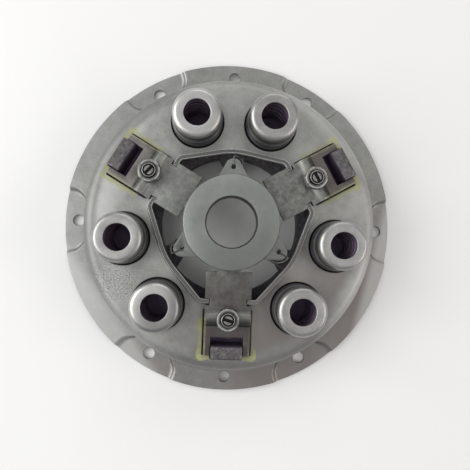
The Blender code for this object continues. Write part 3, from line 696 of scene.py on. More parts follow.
brightLook = {
    "clip": ((0.3, (0.0936, 0.0917, 0.0870)), (0.7, (0.1716, 0.1699, 0.1630))),
    "nut": ((0.3, (0.150, 0.148, 0.138)), (0.7, (0.320, 0.316, 0.300))),
    "stud": ((0.3, (0.200, 0.192, 0.182)), (0.7, (0.400, 0.390, 0.372))),
    "turnedHighlight": (0.85, (0.720, 0.714, 0.690)),
    "collarHeight": (43.8, 44.1),
    "cornerRadius": (5.6, 6.0),
    "groove": (0.75, (0.060, 0.057, 0.053)),
    "grooveRadius": (4.5, 4.7, 5.0, 5.4),
    "bore": (0.012, 0.011, 0.011),
    "boreRadius": (3.60, 3.85),
    "slotShade": (0.012, 0.010, 0.010),
    "slotShadeHeight": (44.9, 45.3),
}


def clipSteel():
    look = Finish("clipWire")
    cloud = look.noise(500.0, 3.0, 0.6)
    look.bump(cloud, 0.03 * mm, 0.6, 0.3 * mm)
    base = look.colours(cloud, *brightLook["clip"])
    return look.set(Base_Color=base, Metallic=1.0, Roughness=0.35 + cloud * 0.12)


def nutSteel():
    look = Finish("nutSteel")
    c = brightLook
    cloud = look.noise(500.0, 3.0, 0.6)
    axes = [look.fromPoint(*polar(studSizes["circle"], angle)) for angle in leverAngles]
    away = reduce(Signal.smaller, axes)
    base = look.colours(cloud, *c["nut"])
    # painted highlights on the collar's face and the turned corners, painted shade in the ring
    # between and in the bore
    patchy = look.step(look.noise(230.0, 2.0), 0.42, 0.58)
    corners = look.rise(away, *c["cornerRadius"]) * (0.10 + patchy * 0.6)
    base = look.stainOrPaintedLight(base, look.rise(look.z, *c["collarHeight"]).larger(corners), c["turnedHighlight"])
    base = look.stainOrPaintedLight(base, look.band(away, *c["grooveRadius"]), c["groove"])
    bore = look.fall(away, *c["boreRadius"])
    base = look.blendColour(bore, base, c["bore"])
    look.bump(cloud, 0.03 * mm, 0.6, 0.3 * mm)
    look.set(Base_Color=base, Metallic=0.9 - bore * 0.8)
    return look.set(Roughness=0.30 + cloud * 0.15, Specular_IOR_Level=0.05)


def studSteel():
    look = Finish("studSteel")
    c = brightLook
    cloud = look.noise(420.0, 3.0, 0.6)
    # painted shade in the slot and below it, on the threads
    deep = look.fall(look.z, *c["slotShadeHeight"])
    base = look.blendColour(deep, look.colours(cloud, *c["stud"]), c["slotShade"])
    look.bump(cloud, 0.03 * mm, 0.6)
    look.set(Base_Color=base, Metallic=0.9 - deep * 0.8)
    return look.set(Roughness=0.34 + deep * 0.3, Specular_IOR_Level=0.05)


castLook = {
    "skin": (
        (0.36, (0.055, 0.050, 0.053)),
        (0.52, (0.125, 0.117, 0.121)),
        (0.66, (0.250, 0.240, 0.242)),
    ),
    "face": ((0.3, (0.26, 0.26, 0.255)), (0.7, (0.38, 0.38, 0.37))),
    "faceHeight": (4.15, 4.5),
    "faceRings": 15000.0,
    "flank": (0.060, 0.045, 0.074),
    "lugHeight": (19.0, 23.0),
    "lugTopHeight": (35.3, 35.8),
    "deepLight": (0.9, (0.480, 0.380, 0.560)),
    "deepLightRadius": (51.0, 54.0),
    "deepLightHeight": (14.0, 14.8),
    "rimRadius": (84.0, 84.8),
    "innerEdge": (0.036, 0.030, 0.042),
    "lowSide": (0.0, -1.0, 10.0, 30.0),
}


def castIron():
    look = Finish("castIron")
    c = castLook
    rough = look.noise(520.0, 6.0, 0.75)
    cloud = look.noise(80.0)
    # the friction face is faced off on a lathe
    radius = look.fromAxis()
    faced = look.fall(look.z, *c["faceHeight"])
    rings = look.sum("SINE", radius * c["faceRings"])
    skin = look.colours(rough * 0.8 + cloud * 0.2, *c["skin"])
    base = look.blendColour(faced, skin, look.colours(cloud, *c["face"]))
    # the lugs' flanks lie in purplish shade below their rough tops
    lug = look.rise(look.z, *c["lugHeight"])
    base = look.blendColour(look.fall(look.z, *c["lugTopHeight"]) * lug, base, c["flank"])
    # painted light lifts what shows through the forks and cups, and painted shade darkens the inner
    # edge below the lip, most toward the bottom
    deep = (1.0 - lug) * (1.0 - faced)
    deepLit = look.rise(radius, *c["deepLightRadius"])
    top = look.rise(look.z, *c["deepLightHeight"]) * look.fall(radius, *c["rimRadius"])
    base = look.stainOrPaintedLight(base, deep * deepLit * top, c["deepLight"])
    lowest = look.toward(*c["lowSide"])
    base = look.blendColour(deep * (1.0 - deepLit) * (0.25 + lowest * 0.40), base, c["innerEdge"])
    look.bump(rough * (1.0 - faced) + rings * faced * 0.05, 0.5 * mm, 0.9, 0.4 * mm)
    return look.set(Base_Color=base, Metallic=0.5 + faced * 0.4, Roughness=0.60 - faced * 0.25)


springLook = {
    "wire": ((0.3, (0.210, 0.160, 0.230)), (0.7, (0.360, 0.290, 0.390))),
    "topShade": (0.8, (0.105, 0.080, 0.118)),
    "topShadeHeight": (26.0, 44.0),
}


def springSteel():
    look = Finish("springSteel")
    cloud = look.noise(200.0, 4.0, 0.6)
    base = look.colours(cloud, *springLook["wire"])
    # painted shade towards the top, where the light reaches in
    base = look.stainOrPaintedLight(base, look.rise(look.z, *springLook["topShadeHeight"]), springLook["topShade"])
    look.bump(cloud, 0.04 * mm, 0.6)
    return look.set(Base_Color=base, Metallic=0.5, Roughness=0.38 + cloud * 0.15)


paperTones = ((0.2, (0.80, 0.79, 0.775)), (0.8, (0.86, 0.855, 0.845)))


def floorPaper():
    look = Finish("floorPaper")
    base = look.colours(look.noise(3.0), *paperTones)
    look.bump(look.noise(700.0), 0.1 * mm, 0.3)
    return look.set(Base_Color=base, Roughness=0.75)


# Cover
coverSizes = {
    "sheet": 2.5 * mm,
    "height": 30.0 * mm,
    "flangeRadius": 107.5 * mm,
    "wallRadius": 91.5 * mm,
    "wallDraft": 0.6 * mm,
    "shoulder": 7.0 * mm,
    "footFillet": 3.0 * mm,
    "raisedLift": 2.2 * mm,
    "padHalfAngle": 10.4,
    "padFootHalfAngle": 6.8,
    "padFlareShare": 0.7,
    "rampAngle": 1.5,
    "lipArc": 44.3 * mm,
    "lipTangent": 49.0,
    "lipCorner": 3.5 * mm,
    "lipTop": 34.5 * mm,
    "lipBend": 1.0 * mm,
    "fulcrum": 47.5 * mm,
    "seatTop": 31.2 * mm,
    "seatHalf": 11.55 * mm,
    "windowIn": 52.5 * mm,
    "windowOut": 80.6 * mm,
    "windowHalf": 15.0 * mm,
    "windowCorner": 0.5 * mm,
    "notchOut": 82.9 * mm,
    "notchHalf": 10.0 * mm,
    "cupCircle": 66.2 * mm,
    "cupOffset": 20.0,
    "cupHole": 16.5 * mm,
    "boltCircle": 99.0 * mm,
    "boltHole": 3.7 * mm,
    "boltAngles": (0.0, 60.0, 120.0, 180.0, 240.0, 300.0, 90.0, 270.0),
}


def cupPlaces():
    s = coverSizes
    angles = [angle + side * s["cupOffset"] for angle in earAngles for side in (-1, 1)]
    return [polar(s["cupCircle"], angle) for angle in angles]


def lipPlace(theta, offset):
    # point and outward direction on the lip's path, on the ray at theta from a lever
    s = coverSizes
    side = -1.0 if theta < 0 else 1.0
    angle = math.radians(abs(theta))
    tangent = math.radians(s["lipTangent"])
    corner = Vector((s["fulcrum"] - s["lipCorner"], 0.0))
    reach = s["lipArc"] - s["lipCorner"]
    corner.y = (reach - corner.x * math.cos(tangent)) / math.sin(tangent)
    ray = Vector((math.cos(angle), math.sin(angle)))
    flank = Vector((-math.sin(tangent), math.cos(tangent)))
    seat = ray * ((s["fulcrum"] + offset) / ray.x)
    if seat.y <= corner.y:
        place, outward = seat, Vector((1.0, 0.0))
    elif angle >= tangent:
        place, outward = ray * (s["lipArc"] + offset), ray.copy()
    else:
        place = ray * ((s["lipArc"] + offset) / math.cos(angle - tangent))
        outward = Vector((math.cos(tangent), math.sin(tangent)))
        if place.dot(flank) < corner.dot(flank):
            along = ray.dot(corner)
            bend = s["lipCorner"] + offset
            place = ray * (along + math.sqrt(bend ** 2 - corner.length_squared + along ** 2))
            outward = (place - corner).normalized()
    return Vector((place.x, place.y * side)), Vector((outward.x, outward.y * side))


def coverStations():
    # the angles of the sheet's sections, with extra ones on the ramps and at the seats' ends
    s = coverSizes
    ramps = [s["padFootHalfAngle"] + s["rampAngle"] * i / 3 for i in range(4)]
    marks = [(60.0 * pad, reach) for pad in range(6) for reach in ramps]
    seatRadius = s["fulcrum"] + s["sheet"] / 2 + s["lipBend"]
    seatEdge = math.degrees(math.atan(s["seatHalf"] / seatRadius))
    marks += [(lever, seatEdge + extra) for lever in leverAngles for extra in (0.0, 0.12)]
    stations = [1.25 * i for i in range(288)]
    for centre, reach in marks:
        stations += [(centre + reach) % 360.0, (centre - reach) % 360.0]
    return sorted({round(station, 3) for station in stations})


def lipSection(theta):
    # the turned-up lip, from its edge down to the dome
    s = coverSizes
    lever = min(leverAngles, key=lambda a: abs((theta - a + 180.0) % 360.0 - 180.0))
    outerFace = s["sheet"] / 2
    foot = outerFace + s["lipBend"]
    bendTop = s["height"] + s["lipBend"]
    place, outward = lipPlace((theta - lever + 180.0) % 360.0 - 180.0, foot)
    top = s["seatTop"] if abs(place.y) < s["seatHalf"] + 0.02 * mm else s["lipTop"]
    side = [(outerFace, top), (outerFace, (top + bendTop) / 2)]
    side += arc((foot, bendTop), s["lipBend"], 180.0, 270.0, 3)
    spin = Matrix.Rotation(math.radians(lever), 2)
    return [(*(spin @ (place + outward * (offset - foot))), z) for offset, z in side], place.length


def padShift(pad, half):
    # how far a station swings when the pad's half angle widens to half
    inner = coverSizes["padFootHalfAngle"]
    ramp = coverSizes["rampAngle"]
    reach = abs(pad)
    if reach <= inner:
        moved = reach * half / inner
    elif reach <= inner + ramp:
        moved = reach + half - inner
    else:
        moved = 30.0 - (30.0 - reach) / (30.0 - inner - ramp) * (30.0 - half - ramp)
    return math.copysign(moved - reach, pad)


def coverSection(theta):
    # upper side of the sheet, from the lip's edge out to the flange's edge
    s = coverSizes
    points, start = lipSection(theta)
    pad = (theta + 30.0) % 60.0 - 30.0
    climb = min(1.0, max(0.0, (abs(pad) - s["padFootHalfAngle"]) / s["rampAngle"]))
    flangeTop = s["sheet"] + s["raisedLift"] * climb * climb * (3 - 2 * climb)
    topRadius = s["wallRadius"] - s["wallDraft"]
    shoulder = (topRadius - s["shoulder"], s["height"] - s["shoulder"])
    foot = (s["wallRadius"] + s["footFillet"], flangeTop + s["footFillet"])
    outer = [(start + (shoulder[0] - start) * t, s["height"]) for t in (0.33, 0.66)]
    outer += arc(shoulder, s["shoulder"], 90.0, 0.0, 9)
    outer.append(((topRadius + s["wallRadius"]) / 2, (shoulder[1] + foot[1]) / 2))
    outer += arc(foot, s["footFillet"], 180.0, 270.0, 5)
    points += [(*polar(radius, theta), z) for radius, z in outer]
    # across the flange the pads widen, so the stations swing away from their centres
    width = s["flangeRadius"] - foot[0]
    for t in (0.12, 0.24, 0.38, 0.54, 0.72, 0.86, 1.0):
        ease = 1.0 - min(1.0, t / s["padFlareShare"])
        half = s["padHalfAngle"] + (s["padFootHalfAngle"] - s["padHalfAngle"]) * ease ** 2
        points.append((*polar(foot[0] + width * t, theta + padShift(pad, half)), flangeTop))
    return points


def buildCover(material):
    s = coverSizes
    form = bmesh.new()
    rings = [[form.verts.new(point) for point in coverSection(theta)] for theta in coverStations()]
    for ring, following in zip(rings, rings[1:] + rings[:1]):
        for j in range(len(ring) - 1):
            form.faces.new((ring[j], ring[j + 1], following[j + 1], following[j]))
    cover = pieceOf("coverPressing", form)
    thicken(cover, s["sheet"]).use_even_offset = True
    edge = [(s["windowIn"], -s["windowHalf"]), (s["windowOut"], -s["windowHalf"])]
    edge += [(s["windowOut"], -s["notchHalf"]), (s["notchOut"], -s["notchHalf"])]
    window = softCornered(edge + [(x, -y) for x, y in reversed(edge)], s["windowCorner"], 3)
    cuts = [turnedBy(window, angle) for angle in leverAngles]
    cuts += [circle(place, s["cupHole"], 64) for place in cupPlaces()]
    low = s["height"] - 2 * s["sheet"]
    holes = circlesAt(s["boltAngles"], s["boltCircle"], s["boltHole"], 32)
    tools = [
        combine(cover, "DIFFERENCE", sheetOf("windowCuts", cuts, low, s["lipTop"] + s["sheet"])),
        combine(cover, "DIFFERENCE", sheetOf("boltCuts", holes, -s["sheet"], 4 * s["sheet"])),
    ]
    cover = settled(cover, "coverPressing")
    for corner in cover.data.vertices:  # the ramps' undersides stay above the seat
        corner.co.z = max(corner.co.z, 0.0)
    drop(*tools)
    dress(cover, material)
    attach(cover, "cover_assembly")
    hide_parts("cover")


# A Geometry Nodes tree whose inputs are named with their kind of socket
class NodeTree:
    def __init__(self, name, **inputs):
        self.tree = bpy.data.node_groups.new(name, "GeometryNodeTree")
        face = self.tree.interface
        self.sockets = {}
        for label, kind in {"Geometry": "Geometry", **inputs, "Material": "Material"}.items():
            label = label.replace("_", " ")
            socket = face.new_socket(label, in_out="INPUT", socket_type=f"NodeSocket{kind}")
            self.sockets[label] = socket.identifier
        face.new_socket("Geometry", in_out="OUTPUT", socket_type="NodeSocketGeometry")
        self.start = self.tree.nodes.new("NodeGroupInput")
        self.end = self.tree.nodes.new("NodeGroupOutput")

    def take(self, label):
        return self.start.outputs[label]

    def feed(self, socket, value):
        if isinstance(value, bpy.types.NodeSocket):
            self.tree.links.new(value, socket)
        else:
            socket.default_value = value

    def add(self, kind, settings=None, output=0, **sockets):
        return feedNode(self.tree.nodes.new(kind), settings, sockets, self.feed).outputs[output]

    def calc(self, operation, *values):
        sockets = {f"i{i}": value for i, value in enumerate(values)}
        return self.add("ShaderNodeMath", {"operation": operation}, **sockets)

    def place(self, angle, radius, z=0.0):
        x = self.calc("MULTIPLY", self.calc("COSINE", angle), radius)
        y = self.calc("MULTIPLY", self.calc("SINE", angle), radius)
        return self.add("ShaderNodeCombineXYZ", X=x, Y=y, Z=z)

    def points(self, count, places):
        line = self.add("GeometryNodeMeshLine", Count=count, Offset=(0.0, 0.0, 0.0))
        return self.add("GeometryNodeSetPosition", Geometry=line, Position=places)

    def finish(self, geometry):
        real = self.add("GeometryNodeRealizeInstances", Geometry=geometry)
        dressed = self.add("GeometryNodeSetMaterial", Geometry=real, Material=self.take("Material"))
        self.tree.links.new(dressed, self.end.inputs["Geometry"])
        return self

    def run(self, name, values):
        # the tree's result as a plain mesh piece
        piece = addPiece(name, bpy.data.meshes.new(name))
        step = piece.modifiers.new(name, "NODES")
        step.node_group = self.tree
        for label, value in values.items():
            step[self.sockets[label]] = value
        return settled(piece, name)


def pairedLayout():
    # copies of a shape in pairs round a circle
    tree = NodeTree(
        "pairedLayout", Shape="Object", Circle_Radius="Float", First_Angle="Float",
        Pairs="Int", Offset_Angle="Float",
    )
    count = tree.calc("MULTIPLY", tree.take("Pairs"), 2.0)
    index = tree.add("GeometryNodeInputIndex")
    pair = tree.calc("FLOOR", tree.calc("DIVIDE", index, 2.0))
    side = tree.calc("MULTIPLY_ADD", tree.calc("MODULO", index, 2.0), 2.0, -1.0)
    pairTurn = tree.calc("DIVIDE", math.tau, tree.take("Pairs"))
    angle = tree.calc("MULTIPLY_ADD", pair, pairTurn, tree.take("First Angle"))
    angle = tree.calc("MULTIPLY_ADD", side, tree.take("Offset Angle"), angle)
    turn = tree.add("ShaderNodeCombineXYZ", Z=angle)
    laid = tree.add(
        "GeometryNodeInstanceOnPoints",
        Points=tree.points(count, tree.place(angle, tree.take("Circle Radius"))),
        Instance=tree.add("GeometryNodeObjectInfo", output="Geometry", Object=tree.take("Shape")),
        Rotation=tree.add("FunctionNodeEulerToRotation", Euler=turn),
    )
    return tree.finish(laid)


def coilTree():
    # a coil spring with close end turns
    tree = NodeTree(
        "coilTree", Points="Int", Turns="Float", End_Turns="Float", End_Pitch="Float",
        Mean_Radius="Float", Wire_Radius="Float", Low="Float", High="Float",
    )
    turns, endTurns, endPitch = [tree.take(label) for label in ("Turns", "End Turns", "End Pitch")]
    last = tree.calc("SUBTRACT", tree.take("Points"), 1.0)
    share = tree.calc("DIVIDE", tree.add("GeometryNodeInputIndex"), last)
    turn = tree.calc("MULTIPLY", share, turns)
    late = tree.calc("ADD", tree.calc("SUBTRACT", turn, turns), endTurns)
    ends = tree.calc("ADD", tree.calc("MINIMUM", turn, endTurns), tree.calc("MAXIMUM", late, 0.0))
    height = tree.calc("SUBTRACT", tree.take("High"), tree.take("Low"))
    openRise = tree.calc("MULTIPLY_ADD", tree.calc("MULTIPLY", endTurns, endPitch), -2.0, height)
    openPitch = tree.calc("DIVIDE", openRise, tree.calc("MULTIPLY_ADD", endTurns, -2.0, turns))
    z = tree.calc("MULTIPLY_ADD", ends, endPitch, tree.take("Low"))
    z = tree.calc("MULTIPLY_ADD", tree.calc("SUBTRACT", turn, ends), openPitch, z)
    places = tree.place(tree.calc("MULTIPLY", turn, math.tau), tree.take("Mean Radius"), z)
    path = tree.add("GeometryNodeMeshToCurve", Mesh=tree.points(tree.take("Points"), places))
    radius = tree.take("Wire Radius")
    section = tree.add("GeometryNodeCurvePrimitiveCircle", Resolution=14, Radius=radius)
    wire = tree.add("GeometryNodeCurveToMesh", Curve=path, Profile_Curve=section, Fill_Caps=True)
    return tree.finish(wire)


def laidOut(tree, name, shape, material):
    values = {
        "Shape": shape,
        "Circle Radius": coverSizes["cupCircle"],
        "First Angle": math.radians(earAngles[0]),
        "Pairs": len(earAngles),
        "Offset Angle": math.radians(coverSizes["cupOffset"]),
        "Material": material,
    }
    piece = tree.run(name, values)
    drop(shape)
    dress(piece, material)
    return piece


# Cups and springs
cupSizes = {
    "top": 53.0 * mm,
    "wall": 1.6 * mm,
    "radius": 14.7 * mm,
    "lowerRadius": 15.5 * mm,
    "stepZ": 39.0 * mm,
    "stepRun": 0.15 * mm,
    "shoulder": 3.2 * mm,
    "hole": 7.8 * mm,
    "holeEdge": 0.5 * mm,
    "brimTop": 27.2 * mm,
    "brimRadius": 18.0 * mm,
    "brimFillet": 1.0 * mm,
}
springSizes = {
    "wire": 1.9 * mm,
    "meanRadius": 10.3 * mm,
    "low": 15.3 * mm,
    "high": 51.1 * mm,
    "turns": 5.5,
    "endTurns": 0.8,
    "endGap": 0.4 * mm,
    "points": 181,
}


def buildCups(tree, material):
    s = cupSizes
    edge = s["holeEdge"]
    stepLow = s["stepZ"] - s["wall"]
    shoulder = (s["radius"] - s["shoulder"], s["top"] - s["shoulder"])
    profile = arc((s["hole"] + edge, s["top"] - edge), edge, 180.0, 90.0, 4)
    profile += arc(shoulder, s["shoulder"], 90.0, 0.0, 10)
    profile += [(s["radius"], s["stepZ"] + edge), (s["radius"] + s["stepRun"], s["stepZ"])]
    profile += [(s["lowerRadius"] - s["stepRun"], stepLow + edge), (s["lowerRadius"], stepLow)]
    brim = (s["lowerRadius"] + s["brimFillet"], s["brimTop"] + s["brimFillet"])
    profile += arc(brim, s["brimFillet"], 180.0, 270.0, 5)
    profile.append((s["brimRadius"], s["brimTop"]))
    cup = turned("cupShape", profile, 72, closed=False)
    thicken(cup, s["wall"])
    cups = laidOut(tree, "springCups", settled(cup, "cupShape"), material)
    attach(cups, "cover_assembly")
    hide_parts(*[f"spring_cup_{i}" for i in range(1, 7)])


def buildSprings(tree, material):
    s = springSizes
    values = {
        "Points": s["points"],
        "Turns": s["turns"],
        "End Turns": s["endTurns"],
        "End Pitch": 2 * s["wire"] + s["endGap"],
        "Mean Radius": s["meanRadius"],
        "Wire Radius": s["wire"],
        "Low": s["low"] + s["wire"],
        "High": s["high"] - s["wire"],
        "Material": material,
    }
    springs = laidOut(tree, "thrustSprings", coilTree().run("coilShape", values), material)
    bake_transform(springs)
    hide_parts(*[f"thrust_spring_{i}" for i in range(1, 7)])


# Levers
leverSizes = {
    "underside": 31.5 * mm,
    "thickness": 4.0 * mm,
    "width": 28.0 * mm,
    "tongueWidth": 14.0 * mm,
    "tongueRoot": 29.35 * mm,
    "nose": 24.2 * mm,
    "noseRound": 2.0 * mm,
    "noseRise": 0.8 * mm,
    "ridge": 57.5 * mm,
    "ridgeRound": 5.0 * mm,
    "ridgeRise": 2.0 * mm,
    "crank": 2.0 * mm,
    "end": 80.0 * mm,
    "forkRoot": 69.0 * mm,
    "forkHalf": 10.0 * mm,
    "notchIn": 45.9 * mm,
    "notchOut": 49.79 * mm,
    "notchDepth": 2.8 * mm,
    "holeHalf": 4.5 * mm,
    "holeReach": 0.95 * mm,
    "edge": 0.45 * mm,
}


def leverSide():
    s = leverSizes
    top = s["underside"] + s["thickness"]
    outerTop = top - s["crank"]
    nose = (s["nose"], top + s["noseRise"] - s["noseRound"])
    noseEnd = math.degrees(math.asin((s["noseRound"] - s["noseRise"]) / s["noseRound"]))
    ridge = (s["ridge"], top + s["ridgeRise"] - s["ridgeRound"])
    near, far = [math.degrees(math.asin((z - ridge[1]) / s["ridgeRound"])) for z in (top, outerTop)]
    bend = s["ridge"] + s["ridgeRound"] - s["ridgeRise"] / 2
    side = arc(nose, s["noseRound"], 180.0, noseEnd, 10)
    side += arc(ridge, s["ridgeRound"], 180.0 - near, far, 24)
    side += [(s["end"], outerTop), (s["end"], outerTop - s["thickness"])]
    side += [(bend, outerTop - s["thickness"]), (bend - s["crank"], s["underside"])]
    side.append((s["nose"], s["underside"]))
    return side


def buildLevers(material):
    s = leverSizes
    wide = s["width"]
    lever = standing("leverForm", leverSide(), wide)
    cuts = []
    for side in (-1, 1):
        cuts.append(rectangle((0.0, side * s["tongueWidth"] / 2), (s["tongueRoot"], side * wide)))
        notch = side * (wide / 2 - s["notchDepth"])
        cuts.append(rectangle((s["notchIn"], notch), (s["notchOut"], side * wide)))
    cuts.append(rectangle((s["forkRoot"], -s["forkHalf"]), (s["end"] + wide, s["forkHalf"])))
    hole = arc((s["ridge"], 0.0), s["holeHalf"], 90.0, 270.0, 16)
    cuts.append(hole + arc((s["ridge"] + s["holeReach"], 0.0), s["holeHalf"], -90.0, 90.0, 16))
    low = s["underside"] - s["thickness"]
    tool = combine(lever, "DIFFERENCE", sheetOf("leverCuts", cuts, low, low + 4 * s["thickness"]))
    softEdges(lever, s["edge"], 3)
    lever = settled(lever, "leverForm")
    drop(tool)
    for i, angle in enumerate(leverAngles, 1):
        piece = spunCopies(f"leverPlate{i}", lever, [angle])
        dress(piece, material, 30.0)
        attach(piece, f"lever_{i}")
        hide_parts(f"release_lever_{i}")
    drop(lever)


# Studs and nuts
studSizes = {
    "circle": 57.5 * mm,
    "radius": 3.35 * mm,
    "low": 12.0 * mm,
    "top": 45.6 * mm,
    "rim": 0.5 * mm,
    "pitch": 1.25 * mm,
    "crest": 0.1 * mm,
    "threadDepth": 0.45 * mm,
    "threadLow": 30.0 * mm,
    "slotWidth": 2.0 * mm,
    "slotDepth": 1.5 * mm,
    "slotTurns": (120.0, 47.0, -14.0),
}
nutSizes = {
    "flats": 13.0 * mm,
    "bottom": 37.8 * mm,
    "hexHeight": 6.0 * mm,
    "cornerCut": 0.45 * mm,
    "cornerHeight": 1.3 * mm,
    "collarRadius": 4.6 * mm,
    "top": 45.0 * mm,
    "rim": 0.3 * mm,
    "bore": 3.55 * mm,
    "turns": (55.0, 28.0, 30.0),
}


def buildStuds(material):
    s = studSizes
    radius, top, rim = s["radius"], s["top"], s["rim"]
    profile = [(0.0, top), (radius - 1.6 * rim, top), (radius - rim, top - rim)]
    z = top - rim
    while z - s["pitch"] > s["threadLow"]:
        middle = z - s["pitch"] / 2
        z -= s["pitch"]
        profile += [(radius, middle + s["crest"]), (radius, middle - s["crest"])]
        profile.append((radius - s["threadDepth"], z))
    profile += [(radius, z - s["pitch"] / 2), (radius, s["low"]), (0.0, s["low"])]
    stud = solidTurned("studForm", profile, 48)
    slot = rectangle((-2 * radius, -s["slotWidth"] / 2), (2 * radius, s["slotWidth"] / 2))
    tool = combine(stud, "DIFFERENCE", sheetOf("slotCut", [slot], top - s["slotDepth"], top + rim))
    stud = settled(stud, "studForm")
    drop(tool)
    for i, piece in enumerate(onStudAxes("slottedStud", stud, s["slotTurns"]), 1):
        dress(piece, material)
        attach(piece, "pressure_plate")
        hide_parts(f"lever_stud_{i}")


def buildNuts(material):
    s = nutSizes
    low, top, rim = s["bottom"], s["top"], s["rim"]
    corner = s["flats"] / math.sqrt(3)
    cut = corner - s["cornerCut"]
    hexTop = low + s["hexHeight"]
    nut = sheetOf("nutForm", [circle((0, 0), corner, 6)], low, hexTop)
    # the corners are turned off above and below by a cone that the hexagon is kept inside
    cone = [(0.0, hexTop), (s["flats"] / 2 - 0.1 * mm, hexTop), (cut, hexTop - s["cornerHeight"])]
    cone += [(cut, low + s["cornerHeight"] / 2), (s["flats"] / 2, low), (0.0, low)]
    collar = [(0.0, top), (s["collarRadius"] - rim, top)]
    collar += arc((s["collarRadius"] - rim, top - rim), rim, 80.0, 0.0, 4)
    collar += [(s["collarRadius"], low + rim), (0.0, low + rim)]
    bore = [(0.0, top + rim), (s["bore"] + 1.4 * rim, top + rim), (s["bore"], top - rim)]
    bore += [(s["bore"], low - rim), (0.0, low - rim)]
    tools = [
        combine(nut, "INTERSECT", solidTurned("nutCone", cone, 96)),
        combine(nut, "UNION", solidTurned("nutCollar", collar, 64)),
        combine(nut, "DIFFERENCE", solidTurned("nutBore", bore, 64)),
    ]
    nut = settled(nut, "nutForm")
    drop(*tools)
    for i, piece in enumerate(onStudAxes("adjustingNut", nut, s["turns"]), 1):
        dress(piece, material, 25.0)
        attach(piece, "pressure_plate")
        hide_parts(f"adjusting_nut_{i}")


# Pressure plate
plateSizes = {
    "inner": 44.0 * mm,
    "outer": 86.0 * mm,
    "face": 4.0 * mm,
    "back": 15.0 * mm,
    "step": 1.0 * mm,
    "faceInner": 50.0 * mm,
    "lobeInner": 36.0 * mm,
    "lobeHalf": 12.0,
    "lugWidth": 19.0 * mm,
    "lugIn": 74.0 * mm,
    "lugOut": 82.3 * mm,
    "lugTop": 36.0 * mm,
    "lugDraft": 1.5 * mm,
    "lugRise": 26.5 * mm,
    "bossRadius": 8.0 * mm,
    "bossHeight": 7.0 * mm,
    "seatRadius": 7.5 * mm,
    "seatHeight": 3.0 * mm,
    "edge": 0.7 * mm,
}


def buildPressurePlate(material):
    s = plateSizes
    step, face, back, top = s["step"], s["face"], s["back"], s["lugTop"]
    profile = [(s["inner"], back), (s["outer"] - step, back), (s["outer"], back - step)]
    profile += [(s["outer"], face), (s["faceInner"], face)]
    profile += [(s["faceInner"] - step, face + step), (s["inner"], face + step)]
    plate = turned("platePart", profile, 120)
    lobe = arc((0, 0), (s["inner"] + s["faceInner"]) / 2, -s["lobeHalf"], s["lobeHalf"], 8)
    lobe += arc((0, 0), s["lobeInner"], s["lobeHalf"] / 2, -s["lobeHalf"] / 2, 6)
    lobes = [turnedBy(lobe, angle) for angle in earAngles]
    rooted = back - 2 * step
    lug = [(s["lugIn"] - s["lugDraft"], rooted), (s["lugOut"], rooted), (s["lugOut"], top - step)]
    lug += [(s["lugOut"] - step, top), (s["lugIn"] + step, top), (s["lugIn"], top - step)]
    lug.append((s["lugIn"], s["lugRise"]))
    lugForm = standing("lugForm", lug, s["lugWidth"])
    bosses = circlesAt(leverAngles, studSizes["circle"], s["bossRadius"], 40)
    bossTop = back + s["bossHeight"]
    seats = [circle(place, s["seatRadius"], 40) for place in cupPlaces()]
    bores = circlesAt(leverAngles, studSizes["circle"], studSizes["radius"] + gap, 32)
    added = [
        sheetOf("lobes", lobes, face + 2 * step, back - step),
        spunCopies("lugs", lugForm, leverAngles),
        sheetOf("bosses", bosses, rooted, bossTop),
        sheetOf("seats", seats, rooted, back + s["seatHeight"]),
    ]
    for form in added:
        combine(plate, "UNION", form)
    drills = sheetOf("bores", bores, studSizes["low"] - gap, bossTop + step)
    combine(plate, "DIFFERENCE", drills)
    softEdges(plate, s["edge"], 2)
    plate = settled(plate, "castPlate")
    drop(lugForm, drills, *added)
    dress(plate, material)
    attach(plate, "pressure_plate")
    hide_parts("pressure_plate")


# Release ring and its clips
ringSizes = {
    "outer": 28.75 * mm,
    "bore": 15.0 * mm,
    "bottom": 36.6 * mm,
    "top": 45.6 * mm,
    "chamfer": 0.6 * mm,
    "edge": 0.25 * mm,
    "earDrop": 1.6 * mm,
    "earThickness": 3.4 * mm,
    "earHoleCircle": 33.0 * mm,
    "earTip": 5.0 * mm,
    "earHalf": 9.2 * mm,
    "earHole": 1.5 * mm,
}
clipSizes = {
    "wire": 0.4 * mm,
    "hook": 3.0 * mm,
    "bend": 1.0 * mm,
    "loopClearance": 1.4 * mm,
    "loopAngle": 100.0,
    "loopPieces": 20,
    "reach": 3.5 * mm,
}


def buildRing(material):
    s = ringSizes
    c = s["chamfer"]
    profile = [(s["bore"] + c, s["top"]), (s["outer"] - c, s["top"]), (s["outer"], s["top"] - c)]
    profile += [(s["outer"], s["bottom"]), (s["bore"], s["bottom"]), (s["bore"], s["top"] - c)]
    ring = turned("ringForm", profile, 144)
    root = math.sqrt(s["outer"] ** 2 - s["earHalf"] ** 2) - c
    ear = [(root, -s["earHalf"])] + arc((s["earHoleCircle"], 0.0), s["earTip"], -50.0, 50.0, 14)
    ear.append((root, s["earHalf"]))
    earTop = s["top"] - s["earDrop"]
    earLow = earTop - s["earThickness"]
    ears = sheetOf("ears", [turnedBy(ear, angle) for angle in earAngles], earLow, earTop)
    holes = circlesAt(earAngles, s["earHoleCircle"], s["earHole"], 24)
    drills = sheetOf("earHoles", holes, earLow - c, s["top"])
    combine(ring, "UNION", ears)
    combine(ring, "DIFFERENCE", drills)
    softEdges(ring, s["edge"], 2)
    ring = settled(ring, "thrustRing")
    drop(ears, drills)
    dress(ring, material)
    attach(ring, "release_ring")
    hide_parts("release_ring")


